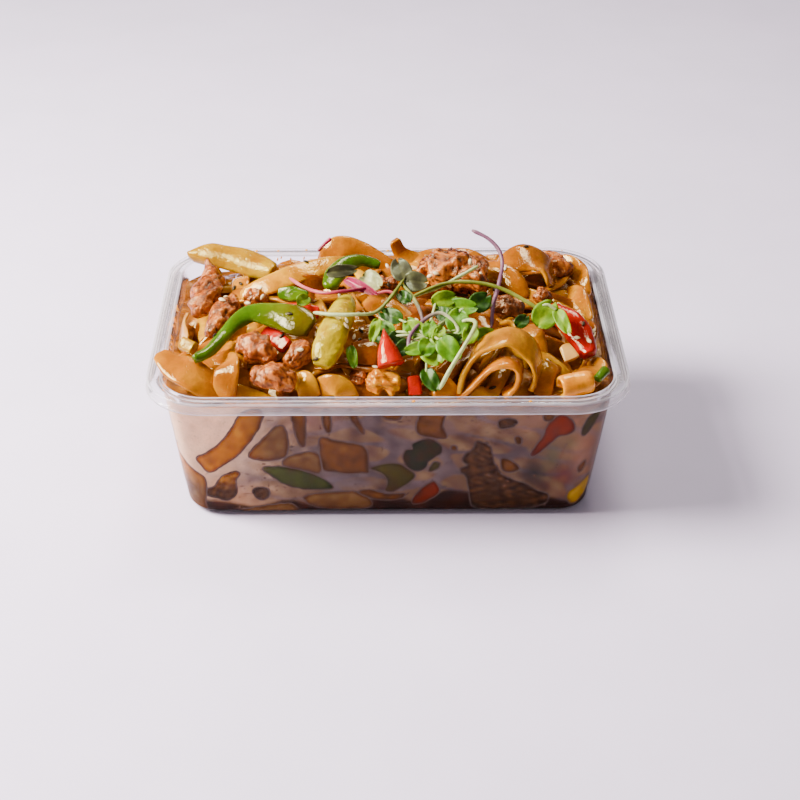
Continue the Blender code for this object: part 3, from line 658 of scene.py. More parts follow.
@dataclass(frozen=True)
class LeafFinish(Finish):
    """A fresh leaf or stem: soft light through it and fine veins."""

    name: str
    roughness: float = 0.4
    vein: float = 1.1
    glow: float = 0.28

    def surface(self, sheet: NodeSheet) -> Node:
        """Build the shader.

        Args:
            sheet: the empty node tree.

        Returns:
            The shader.
        """
        mottle = sheet.noise(self.vein, 4.0)
        shade = sheet.span(mottle, NOISE_SPAN, (0.78, 1.2))
        colour = sheet.blend(1.0, sheet.tint(), shade, "MULTIPLY")
        body = sheet.add("BsdfPrincipled", {
            "Base Color": colour,
            "Roughness": self.roughness,
            "Specular Tint": (0.85, 1.0, 0.55, 1.0),
            "Normal": sheet.bump(mottle, 0.12),
        })
        return sheet.mix(self.glow, body, sheet.add("BsdfTranslucent", {"Color": colour}))


@dataclass(frozen=True)
class PlasticFinish(Finish):
    """Clear moulded plastic: see-through, a little milky, whiter along the rim and at a slant."""

    name: str = "clear_moulded_plastic"
    milk: Three = (238, 234, 240)
    gloss_colour: Four = (0.9, 0.86, 0.84, 1.0)
    clear_colour: Four = (0.985, 0.98, 0.985, 1.0)
    glow_colour: Four = (0.92, 0.9, 0.92, 1.0)
    gleam: float = 1.17

    def surface(self, sheet: NodeSheet) -> Node:
        """Build the shader. The mesh's own colour holds the haze in red and the gleam in green.

        Args:
            sheet: the empty node tree.

        Returns:
            The shader.
        """
        parts = sheet.add("SeparateColor", {"Color": sheet.tint()}).outputs
        slant = sheet.add("LayerWeight", {"Blend": 0.35}).outputs["Facing"]
        slant = sheet.span(slant, (0.3, 1.0), (1.0, 2.0))
        cloud = sheet.cloud(16.0, 2.0, (0.75, 1.3))
        amount = sheet.times(sheet.times(parts["Red"], slant), cloud, clamped=True)
        relief = sheet.bump(sheet.noise(7.0, 2.0), 0.05)
        milk = sheet.add("BsdfPrincipled", {
            "Base Color": (*srgb(*self.milk), 1.0),
            "Roughness": 0.16,
            "IOR": 1.49,
            "Coat Weight": 0.6,
            "Coat Roughness": 0.05,
            "Normal": relief,
        })
        clear = sheet.add("BsdfTransparent", {"Color": self.clear_colour})
        shine = sheet.add("BsdfGlossy", {"Color": self.gloss_colour, "Roughness": 0.06, "Normal": relief})
        fresnel = sheet.add("Fresnel", {"IOR": self.gleam}).outputs["Fac"]
        glassy = sheet.mix(sheet.times(fresnel, parts["Green"]), clear, shine)
        body = sheet.mix(0.45, milk, sheet.add("BsdfTranslucent", {"Color": self.glow_colour}))
        return sheet.mix(amount, glassy, body)


@dataclass(frozen=True)
class TableFinish(Finish):
    """The pale floor, very slightly mottled."""

    name: str = "pale_table"
    colour: Three = (224, 208, 228)

    def surface(self, sheet: NodeSheet) -> Node:
        """Build the shader.

        Args:
            sheet: the empty node tree.

        Returns:
            The shader.
        """
        cloud = sheet.cloud(60.0, 3.0, (0.97, 1.03))
        colour = sheet.blend(1.0, (*srgb(*self.colour), 1.0), cloud, "MULTIPLY")
        return sheet.add("BsdfPrincipled", {"Base Color": colour, "Roughness": 0.6})


# Each gives in order: roughness, size and depth of the mottling, size and height of the grain, the stains'
# colour, size and strength, how deep light goes in, the gloss and its colour
NOODLE_FINISH = FoodFinish("wet_noodle", (0.05, 0.14), 3.4, (0.76, 1.18), 2.6, 0.16, (110, 44, 0), 12.0,
    0.28, 0.24, 0.75)
CORE_FINISH = FoodFinish("sauced_filling", (0.2, 0.4), 3.0, (0.62, 1.3), 1.2, 0.25, (60, 22, 2), 9.0, 0.4,
    0.0)
BEEF_FINISH = FoodFinish("glazed_beef", (0.1, 0.22), 1.4, (0.6, 1.3), 0.8, 0.2, (60, 18, 4), 6.0, 0.45, 0.0,
    gloss=0.9, shine=(1.0, 0.68, 0.34))
PEPPER_FINISH = FoodFinish("fried_pepper", (0.05, 0.12), 3.0, (0.8, 1.12), 1.8, 0.12, (70, 34, 0), 9.0, 0.22,
    0.10, 0.5, (1.0, 0.88, 0.45))
ONION_FINISH = FoodFinish("soft_onion", (0.10, 0.24), 3.0, (0.85, 1.1), 1.0, 0.04, (150, 78, 12), 10.0, 0.3,
    0.35)
YELLOW_FINISH = FoodFinish("oiled_pepper", (0.05, 0.12), 2.2, (0.82, 1.12), 1.8, 0.16, (130, 66, 0), 8.0,
    0.35, 0.15, 0.5, (1.0, 0.88, 0.25))
SEED_FINISH = FoodFinish("sesame_seed", (0.25, 0.4), 0.8, (0.9, 1.08), 0.3, 0.02, (120, 80, 40), 5.0, 0.1,
    0.1)
OIL_FINISH = FoodFinish("oil_drop", (0.05, 0.12), 2.0, (0.95, 1.05), 1.0, 0.01, (190, 100, 10), 6.0, 0.2,
    0.3)
PRESSED_FINISH = FoodFinish("food_on_the_wall", (0.5, 0.65), 3.0, (0.80, 1.14), 0.8, 0.04, (60, 26, 8), 8.0,
    0.40, 0.0, 0.08)
PRESSED_BEEF_FINISH = FoodFinish("beef_on_the_wall", (0.45, 0.65), 1.8, (0.6, 1.3), 0.7, 0.2, (40, 18, 8),
    5.0, 0.5, 0.0, 0.08)
SPROUT_FINISH = LeafFinish("fresh_sprout")
STEM_FINISH = LeafFinish("sprout_stem", 0.35, 1.6)


def make_piece(name: str, shape: Shape, finish: Finish, slot: str, replaced: tuple[str, ...] = ()) -> None:
    """Make an object that rides on the box.

    Args:
        name: the piece's name.
        shape: its mesh in millimetres.
        finish: the finish that dresses it.
        slot: the record's material slot, not used.
        replaced: the nodes that it stands for.
    """
    mesh = bpy.data.meshes.new(name)
    mesh.from_pydata((shape.points * MM).tolist(), [], shape.faces)
    colours = mesh.color_attributes.new("tint", "FLOAT_COLOR", "POINT")
    colours.data.foreach_set("color", np.hstack([shape.tint, np.ones((len(shape.tint), 1))]).ravel())
    work = bmesh.new()
    work.from_mesh(mesh)
    bmesh.ops.recalc_face_normals(work, faces=work.faces)
    work.to_mesh(mesh)
    work.free()
    mesh.shade_smooth()
    mesh.materials.append(finish.material())
    obj = bpy.data.objects.new(name, mesh)
    bpy.context.scene.collection.objects.link(obj)
    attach(obj, "root")
    if replaced:
        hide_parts(*replaced)
    log.info("%s: %d points, %d faces", name, len(mesh.vertices), len(mesh.polygons))


# Pieces of food


@dataclass
class Ribbon:
    """A strip of food: its route, widths, thickness and the way its broad side faces."""

    route: list
    width: object
    thickness: float = 2.4
    face: tuple | None = None
    across: tuple | None = None
    cup: float = 0.0
    frill: float = 0.35
    tone: Tone = Tone.AMBER
    inside: Tone | None = None
    end_tone: Tone | None = None
    warmth: float = 0.0

    def shape(self, seed: int, rings: int = 52, sides: int = 20) -> Shape:
        """Sweep a flat section with rounded edges along the route.

        Args:
            seed: which uneven pattern.
            rings: how many sections.
            sides: how many points a section has.

        Returns:
            The closed strip.
        """
        line = catmull(self.route, rings)
        _, side, normal = frames(line, self.face, self.across)
        t = np.linspace(0, 1, rings)
        tip = 0.72 + 0.28 * smooth(np.minimum(t, 1 - t) / 0.05)
        wobble = 1 + 0.05 * ripple(line, 17.0, seed)
        half = spread(self.width, rings) / 2 * tip * wobble
        angle = turns(sides)
        x = np.sign(np.cos(angle)) * np.abs(np.cos(angle)) ** 0.55
        y = np.sign(np.sin(angle)) * np.abs(np.sin(angle)) ** 0.75
        length = run(line) * t
        wave = np.sin(length[:, None] / 2.4 + seed + 1.9 * (x > 0)) * x ** 2 * self.frill
        rise = self.thickness / 2 * y + self.cup * (1 - x ** 2) + wave
        body = line[:, None] + side[:, None] * (half[:, None] * x)[..., None]
        body = body + normal[:, None] * rise[..., None]
        patch = ripple(body, 12.0, seed + 7)
        # Painted light and shade: the thin edges are lighter, as if light shone through them, and the
        # underside is darker
        amount = self.warmth + 0.4 * patch + 0.3 * np.abs(x) ** 8 - 0.3 * (y < -0.3)
        tint = self.tone.mix(amount)
        if self.end_tone:
            tint = tint + smooth(2.2 * t - 1.1)[:, None, None] * (self.end_tone.mix(amount) - tint)
        if self.inside:
            tint = np.where((y < 0.35)[None, :, None], self.inside.mix(amount + 0.2), tint)
        return loft(body, tint)


@dataclass
class Chunk:
    """A rounded piece: its route, half width and half height, and how lumpy and fibrous it is."""

    route: list
    half_width: object
    half_height: float
    tone: Tone = Tone.BEEF
    lump: float = 0.9
    lump_size: float = 6.4
    crease: float = 0.5
    crease_size: float = 2.6
    fibre: float = 0.26

    def shape(self, seed: int, rings: int = 64, sides: int = 48) -> Shape:
        """Sweep an oval along the route and push it in and out along its fibres.

        Args:
            seed: which uneven pattern.
            rings: how many sections.
            sides: how many points a section has.

        Returns:
            The closed piece.
        """
        line = catmull(self.route, rings)
        _, side, normal = frames(line, face=UP_FRONT)
        t = np.linspace(0, 1, rings)
        swell = np.sin(math.pi * (0.03 + 0.94 * t)) ** 0.3
        half = spread(self.half_width, rings) * swell * (1 + 0.22 * self.lump * ripple(line, 7.0, seed + 6))
        high = self.half_height * swell * (1 + 0.14 * self.lump * ripple(line, 6.0, seed + 8))
        angle = turns(sides)
        out = side[:, None] * np.cos(angle)[None, :, None] * half[:, None, None]
        out = out + normal[:, None] * np.sin(angle)[None, :, None] * high[:, None, None]
        body = line[:, None] + out
        length = run(line)
        grain = np.stack([half[:, None] * np.cos(angle), high[:, None] * np.sin(angle),
                          np.broadcast_to(0.2 * length * t[:, None], (rings, sides))], axis=-1)
        folds = ripple(grain, self.crease_size, seed + 1) + 0.5 * ripple(body, 4.0, seed + 5)
        valley = np.clip(np.abs(folds) * 1.6, 0, 1) ** 0.7
        threads = ripple(grain, 0.9, seed + 3, 14)
        fine = ripple(body, 1.5, seed + 2, 14)
        push = self.lump * ripple(body, self.lump_size, seed) + self.crease * (valley - 0.8)
        push = push + self.fibre * (0.6 * threads + 0.5 * fine)
        body = body + unit(out + 1e-9) * (push * np.clip(swell, 0.3, 1)[:, None])[..., None]
        # Darker in the creases, partly sauce and partly painted shade, and lighter between them
        amount = (self.crease + 0.3 * self.lump) * 1.7 * (valley - 0.66)
        amount = amount + self.fibre * (0.8 * fine + 0.9 * threads) + 0.3 * ripple(body, 9.0, seed + 4)
        return loft(body, self.tone.mix(amount))


@dataclass
class Leaf:
    """A seed leaf: a rounded sheet, notched at the tip, cupped and a little wavy."""

    middle: tuple
    along: tuple
    length: float
    width: float
    tone: Tone = Tone.CRESS
    wave: float = 0.5
    notch: float = 0.14
    thickness: float = 0.45

    def shape(self, seed: int, rows: int = 17, columns: int = 11) -> Shape:
        """Bend a closed thin sheet to the leaf's outline.

        Args:
            seed: which uneven pattern.
            rows: points along the leaf.
            columns: points across it.

        Returns:
            The closed leaf.
        """
        along = unit(np.asarray(self.along, float))
        side = unit(np.cross(np.asarray(FRONT_UP), along))
        normal = np.cross(along, side)
        t = np.linspace(0, 1, rows)[:, None]
        x = np.linspace(-1, 1, columns)[None, :]
        half = self.width / 2 * (0.16 + 0.84 * np.sin(math.pi * np.clip(t, 0, 1) ** 0.8) ** 0.55)
        reach = (t - 0.5) - self.notch * t ** 6 * (1 - np.abs(x)) ** 1.5 + 0.02 * np.sin(5 * x + seed)
        lift = self.wave * np.sin(5.0 * t) + self.wave * 1.3 * x ** 2 - 0.22 * np.exp(-(x / 0.13) ** 2)
        lift = lift + 0.25 * np.sin(9 * t + 3 * x + seed)
        middle = np.asarray(self.middle, float)
        grid = middle + along * (self.length * reach)[..., None] + side * (half * x)[..., None]
        grid = grid + normal * lift[..., None]
        rib = np.exp(-(x / 0.10) ** 2) * (1 - t) * 0.9
        veins = 0.25 * np.abs(np.sin(8 * t - 3 * np.abs(x)))
        amount = rib + veins - 0.15 - 0.35 * ripple(grid, 7.0, seed) + 0.25 * np.abs(x) ** 6
        tint = self.tone.mix(amount)
        edge = 0.3 + 0.7 * (1 - np.abs(x) ** 4) * (1 - (2 * t - 1) ** 8)
        half_thick = normal * (self.thickness / 2 * edge)[..., None]
        points = np.vstack([(grid + half_thick).reshape(-1, 3), (grid - half_thick).reshape(-1, 3)])
        n = rows * columns
        faces = grid_faces(rows, columns) + [face[::-1] for face in grid_faces(rows, columns, n)]
        round_edge = [(0, c) for c in range(columns)] + [(r, columns - 1) for r in range(1, rows)]
        round_edge += [(rows - 1, c) for c in range(columns - 2, -1, -1)]
        round_edge += [(r, 0) for r in range(rows - 2, 0, -1)]
        loop = [r * columns + c for r, c in round_edge]
        faces += [(a, b, b + n, a + n) for a, b in zip(loop, loop[1:] + loop[:1])]
        return Shape(points, faces, np.vstack([tint.reshape(-1, 3), 0.82 * tint.reshape(-1, 3)]))


@dataclass
class Stem:
    """A thin round stem along a route, from one colour to another."""

    route: list
    radius: float = 0.72
    tone: Tone = Tone.WHITE_STEM
    tip_tone: Tone | None = None

    def shape(self, seed: int, sides: int = 8) -> Shape:
        """Sweep a round section along the route.

        Args:
            seed: which uneven pattern.
            sides: how many points a section has.

        Returns:
            The closed stem.
        """
        rings = 12 * len(self.route)
        line = catmull(self.route, rings)
        _, side, normal = frames(line, face=(0.31, 0.17, 0.93))
        t = np.linspace(0, 1, rings)
        ends = 0.55 + 0.45 * smooth(np.minimum(t, 1 - t) / 0.04)
        radius = self.radius * (1 + 0.12 * ripple(line, 9.0, seed)) * ends
        angle = turns(sides)
        ring = side[:, None] * np.cos(angle)[None, :, None] + normal[:, None] * np.sin(angle)[None, :, None]
        amount = 0.4 * ripple(line, 14.0, seed + 1)
        tint = self.tone.mix(amount)
        if self.tip_tone:
            tint = tint + smooth(t * 1.6 - 0.4)[:, None] * (self.tip_tone.mix(amount) - tint)
        return loft(line[:, None] + ring * radius[:, None, None], np.repeat(tint[:, None], sides, axis=1))


@dataclass
class Seed:
    """A sesame seed: a small pointed oval half sunk in what it lies on."""

    size: Three

    def shape(self, middle: Array, along: Array, up: Array, tone: Tone) -> Shape:
        """Make the seed.

        Args:
            middle: its place.
            along: the way its point faces.
            up: the way its flat side faces.
            tone: its colour.

        Returns:
            The closed seed.
        """
        up = unit(np.asarray(up, float))
        along = unit(along - up * np.dot(along, up))
        side = np.cross(up, along)
        length, width, height = self.size
        t = np.linspace(0, 1, 9)
        fat = np.sin(math.pi * np.clip(t, 0.02, 0.98)) ** 0.6 * (1 - 0.35 * t)
        angle = turns(10)
        ring = np.outer(np.cos(angle), side * width / 2) + np.outer(np.sin(angle), up * height / 2)
        points = middle + along * (length * (t - 0.45))[:, None, None] + ring[None] * fat[:, None, None]
        return loft(points, tone.mix(np.broadcast_to(0.8 * (1 - 2 * t)[:, None], (9, 10))))


@dataclass
class Drop:
    """A flat drop on a surface."""

    radius: float
    height: float

    def shape(self, middle: Array, up: Array, tone: Tone, stretch: float = 1.0) -> Shape:
        """Make a low dome.

        Args:
            middle: its place.
            up: the surface's direction.
            tone: its colour.
            stretch: how much longer than wide it is.

        Returns:
            The closed drop.
        """
        up = unit(np.asarray(up, float))
        side = unit(np.cross(up, (0.3, 0.9, 0.31)))
        other = np.cross(up, side)
        angle = turns(12)
        levels = np.radians([-20, 5, 30, 55, 78])
        ring = np.outer(np.cos(angle), side) + np.outer(np.sin(angle), other * stretch)
        points = [middle + ring * self.radius * math.cos(a) + up * self.height * math.sin(a) for a in levels]
        return loft(np.array(points), tone.mix(np.zeros((5, 12))))


# What is in the box, by kind

PEPPERS = {
    "yellow_pepper": Ribbon([(-79, 44, 61.5), (-70, 42, 63), (-60, 38, 63), (-51, 33, 62.5),
        (-44, 27, 62.5)], [4, 10, 11, 11, 8], 4.0, (0, -0.6, 0.8), cup=1.6, tone=Tone.YELLOW),
    "green_pepper_curved": Ribbon([(-70, -39, 63), (-65, -34, 63.5), (-60, -24, 64.5), (-56, -19, 67),
        (-50, -16, 69), (-42, -18, 69.5), (-34, -22, 69.5), (-28, -26, 68.5)], [4, 4.5, 5, 6, 7, 10, 12, 10],
        2.4, (0, -0.6, 0.8), cup=0.8, tone=Tone.GREEN, end_tone=Tone.BRINED),
    "green_pepper_back": Ribbon([(-3, 16, 72), (-10, 16, 74), (-16, 12, 74), (-20, 6, 73), (-22, -1, 71)],
        [4, 5, 7, 8, 6], 2.4, (0, -0.7, 0.7), cup=0.8, tone=Tone.GREEN),
    "green_pepper_small": Ribbon([(-41, 1, 68), (-36, -1, 69), (-30, -3, 69)], [4, 6, 4], 2.6, FRONT_UP,
        tone=Tone.GREEN),
    "red_pepper_left": Ribbon([(-45.5, -18, 62.4), (-41, -24, 62.7), (-37, -29, 62.2)], 6, 2.6, FRONT_UP,
        tone=Tone.RED),
    "orange_pepper": Ribbon([(-42, -9, 66), (-34, -11, 67), (-25.5, -12, 67)], [5, 7, 5], 3.0, FRONT_UP,
        tone=Tone.ORANGE),
    "red_pepper_right": Ribbon([(61, -5, 64), (67, -12, 63.5), (71, -19, 61.5), (74, -29, 58)],
        [7, 9, 10, 7], 3.6, (-0.2, -0.7, 0.7), cup=1.0, tone=Tone.RED),
    "red_pepper_front": Ribbon([(9, -46.5, 60.5), (9.5, -50.5, 55)], 5, 2.6, FRONT_UP, tone=Tone.RED),
    "yellow_pepper_bit": Ribbon([(-76, -22, 60), (-71, -27, 60.5)], 5, 3.2, FRONT_UP, tone=Tone.YELLOW),
    "green_pepper_corner": Ribbon([(75, -44, 57.4), (79, -38, 57.8)], 3.5, 2.2, UP_FRONT, tone=Tone.GREEN),
    "orange_wedge": Ribbon([(-1.5, -33.5, 70.5), (-0.4, -39.5, 67.4), (1, -45, 63.5)], [1.2, 7, 10.5], 3.6,
        FRONT_UP, cup=2.0, frill=0.12, tone=Tone.ORANGE),
    "onion_left": Ribbon([(-77.6, 9, 54), (-78.2, 1, 53.5), (-77.4, -8, 53.5), (-75.6, -13.5, 54)],
        [4, 8, 9, 7], 1.6, across=(0.35, 0.1, 1), tone=Tone.ONION),
    "onion_right": Ribbon([(64.5, -28, 62), (67, -34, 59.5)], [4, 6], 1.8, FRONT_UP, tone=Tone.ONION),
}

CHUNKS = {
    "green_stalk": Chunk([(-15, -10, 72), (-18, -26, 72), (-21, -38, 69.5), (-24, -46, 64.5)],
        [5.5, 5.6, 5.8, 5.8], 3.6, Tone.STALK, 0.3, 12.0, 0.15, 3.0, 0.05),
    "crinkled_omelette": Chunk([(-8, -48, 58), (-2, -48, 59), (4, -48, 58)], 4.6, 3.4, Tone.OMELETTE, 1.0,
        3.8, 0.35, 2.6, 0.08),
    "beef_left": Chunk([(-71, 33, 65), (-69, 25, 61), (-70.5, 10, 61.5), (-71.8, -2, 61)],
        [1.5, 5.3, 5.6, 4.5], 4.4),
    "beef_left_inner": Chunk([(-58, 3, 65), (-61.5, -8, 64.5), (-66, -20, 62)], [3.4, 4.6, 4.4], 3.8),
    "beef_crumbly_left": Chunk([(-54, 1, 63), (-50, 0.5, 65), (-46.5, -1.5, 66)], 4.9, 4.2, lump=1.3,
        lump_size=5.0, crease=0.7, crease_size=3.6, fibre=0.25),
    "beef_middle": Chunk([(-54, -27, 64), (-48, -33, 64.5), (-41.5, -38.5, 63)], [5, 6, 4.4], 4.2),
    "beef_by_stalk": Chunk([(-36, -41, 62), (-32.5, -36.5, 63.5), (-30, -31, 65)], 4.2, 3.4),
    "beef_front": Chunk([(-49, -45.5, 60), (-41, -47, 60.5), (-33, -48, 59)], [5.4, 6.2, 5.8], 4.8),
    "beef_curl": Chunk([(-14, -43.5, 58), (-8, -43, 58.5)], 3, 2.2, lump=0.5),
    "beef_back_small": Chunk([(-4, 6, 68), (4, 7, 68)], 4, 3.6),
    "beef_crumbly_right": Chunk([(13, 20, 68.5), (22, 15, 70.5), (30, 13, 70), (37, 5, 68)], [6.5, 9, 9, 6],
        6.2, lump=1.5, lump_size=6.5, crease=0.9, crease_size=4.0, fibre=0.35),
    "beef_right": Chunk([(60, 39, 62.5), (67, 37, 62), (72, 31, 60)], 4.8, 4.0),
    # The dark beef colour, partly painted shade
    "beef_dark": Chunk([(38, -4, 66), (44, -6, 66), (51, -8, 65)], 4.6, 3.6, Tone.BEEF_DARK_AND_SHADED),
    "beef_by_hood": Chunk([(61, 9, 64), (57, 3, 64)], 3.6, 2.8),
}

NOODLES = {
    "loop_outer": Ribbon([(26, -48, 54), (28, -44, 62), (34, -40, 69), (43, -38, 71.5), (51, -40, 67),
        (53.5, -43, 60), (51, -47, 54)], 13, across=(-0.3, -0.95, -0.05), tone=Tone.PALE_NOODLE),
    # The inner loop takes the lit noodle colour: painted light on a piece that lies in shade
    "loop_inner": Ribbon([(25, -49, 54), (31, -48.5, 59.5), (37, -47.5, 65), (42, -47, 66.5),
        (46, -47.5, 64), (46, -48, 58), (41, -49, 54)], 8, across=(-0.2, -0.97, 0.1), tone=Tone.PAINTED_LIGHT_NOODLE,
        warmth=-0.5),
    "hood": Ribbon([(45, 20, 60), (47, 25, 66), (54, 27, 69.5), (61, 26, 67), (65, 21, 60)], 14,
        across=(0.1, -1, -0.3)),
    "petal": Ribbon([(-83, -31, 60.6), (-77, -38, 60.0), (-69, -43, 58), (-60, -45, 52)], [7, 12, 13, 10],
        face=(0.3, -0.5, 0.8)),
    "peak": Ribbon([(-25, 37, 58), (-19, 37, 66), (-10, 36, 64), (2, 33, 59)], [9, 14, 14, 10],
        face=FRONT_UP, cup=1.0),
    "spike": Ribbon([(3, 37, 72), (6, 37, 66), (14, 35, 62.5), (24, 33, 60)], [5, 6, 9, 10], face=FRONT_UP),
    "long_edge": Ribbon([(-56, 10, 62), (-44, 10, 67.5), (-30, 16, 70), (-16, 24, 68), (-8, 26, 63)],
        [6, 9, 9, 8, 7], face=(0, -0.45, 0.9), tone=Tone.PALE_NOODLE),
    "long_flap": Ribbon([(-45, 9, 60), (-37, 9.5, 65), (-29, 11, 66), (-22, 12, 62)], [6, 8, 9, 7],
        face=(0, -0.9, 0.45), tone=Tone.DEEP_NOODLE),
    "over_beef": Ribbon([(4, 35, 59), (16, 35, 65), (31, 34, 66), (45, 31, 60)], 8, face=(0, -0.4, 0.9)),
    "beside_beef": Ribbon([(33, 29, 60), (42, 22, 66), (49, 14, 65), (50.5, 9, 60)], 9,
        face=(-0.2, -0.7, 0.7), cup=1.0),
    "ruffle": Ribbon([(61, 46, 52), (72, 43, 58), (77, 35, 58), (77, 25, 53)], 8, face=(-0.5, -0.5, 0.7),
        frill=1.1),
    "right_strip": Ribbon([(70, 23, 55), (74.5, 15, 59), (76, 2, 54)], 7, face=(-0.4, -0.5, 0.8)),
    "right_wall": Ribbon([(73, 4, 50), (77.5, -6, 54), (75, -18, 50)], 8, across=(0.3, 0, 1),
        tone=Tone.DEEP_NOODLE),
    "wide_right": Ribbon([(60, -44, 51), (70, -42, 55), (76, -33, 55), (74, -25, 50)], [9, 10, 9, 7],
        face=(-0.3, -0.7, 0.7)),
    "fold_right": Ribbon([(55, -47, 52), (57, -42, 58.5), (59.5, -37.5, 59), (60, -34, 54)], 7,
        face=(-0.3, -0.8, 0.5)),
    "twist": Ribbon([(-58, -30, 57), (-57.5, -37, 61), (-58, -43, 60), (-59, -47, 52)], [5, 8, 10, 9],
        face=(-0.3, -0.75, 0.55)),
    "between_beef": Ribbon([(-58, -35, 52), (-50, -37, 56), (-42, -38.5, 55.5), (-34, -39, 52)], 6, face=UP),
    "pale_front": Ribbon([(-33, -41, 54), (-30, -45.5, 57.5), (-28, -48, 52)], 8, face=FRONT_UP,
        tone=Tone.PALE_NOODLE),
    "bright_front": Ribbon([(-26, -44, 53), (-21, -47.6, 57.6), (-16.5, -48.6, 56.5), (-14, -48.6, 51)], 8,
        face=FRONT_UP, tone=Tone.PALE_NOODLE),
    "under_cress": Ribbon([(4, -2, 62), (10, -14, 67), (20, -22, 67), (30, -24, 61)], 12, face=UP_FRONT,
        tone=Tone.DEEP_NOODLE),
    "front_right": Ribbon([(13, -43, 54), (18, -48, 57.5), (23, -49, 52)], 9, face=FRONT_UP),
    "centre": Ribbon([(-10, -22, 61), (-8, -32, 65), (-9, -40, 61)], 10, face=UP_FRONT,
        tone=Tone.DEEP_NOODLE),
    "centre_back": Ribbon([(-14, 4, 62), (-5, -6, 67.5), (4, -16, 66), (8, -26, 60)], 11, face=UP_FRONT),
    "centre_right": Ribbon([(50.5, -12, 60), (52, -18, 63), (53.5, -26, 62), (54, -32, 56)], 10,
        face=UP_FRONT),
    "left_front": Ribbon([(-73, -17, 52), (-71, -25, 55), (-65, -32, 56), (-58, -37, 52)], [6, 9, 10, 9],
        face=UP_FRONT),
    "back_left": Ribbon([(-66, 22, 50), (-54, 27, 55.6), (-40, 32, 57), (-28, 31, 53)], 11, face=UP_FRONT),
    "back_row": Ribbon([(-44, 46, 50), (-24, 47, 56), (0, 47, 57.5), (22, 47, 54), (36, 46, 49)], 9, face=UP),
    "back_right": Ribbon([(26, 44, 51), (42, 43, 58), (56, 46, 55), (64, 44, 49)], 9, face=UP_FRONT),
}


@dataclass
class RolledNoodle:
    """The noodle rolled into a tube, open at its ends."""

    centre: tuple = (67.0, -47.6, 57.2)
    axis: tuple = (0.95, 0.28, 0.05)
    radius: float = 3.4
    growth: float = 0.8
    length: float = 12.0
    wall: float = 2.0
    start: float = -100.0
    turn: float = 315.0

    def shape(self) -> Shape:
        """Wind the strip round its axis.

        Returns:
            The rolled strip.
        """
        axis = unit(np.asarray(self.axis))
        side = unit(np.cross(axis, np.asarray(UP)))
        up = np.cross(side, axis)
        route = []
        for turn in np.linspace(0, 1, 20):
            angle = math.radians(self.start + self.turn * turn)
            radius = self.radius + self.growth * (turn - 0.5)
            route.append(np.asarray(self.centre) + radius * (side * math.cos(angle) + up * math.sin(angle)))
        # The tube takes the lit noodle colour: painted light on a piece in the heap's shade
        strip = Ribbon(route, self.length, self.wall, across=self.axis, frill=0.1, tone=Tone.PAINTED_LIGHT_NOODLE)
        return strip.shape(ROLL_PATTERN)


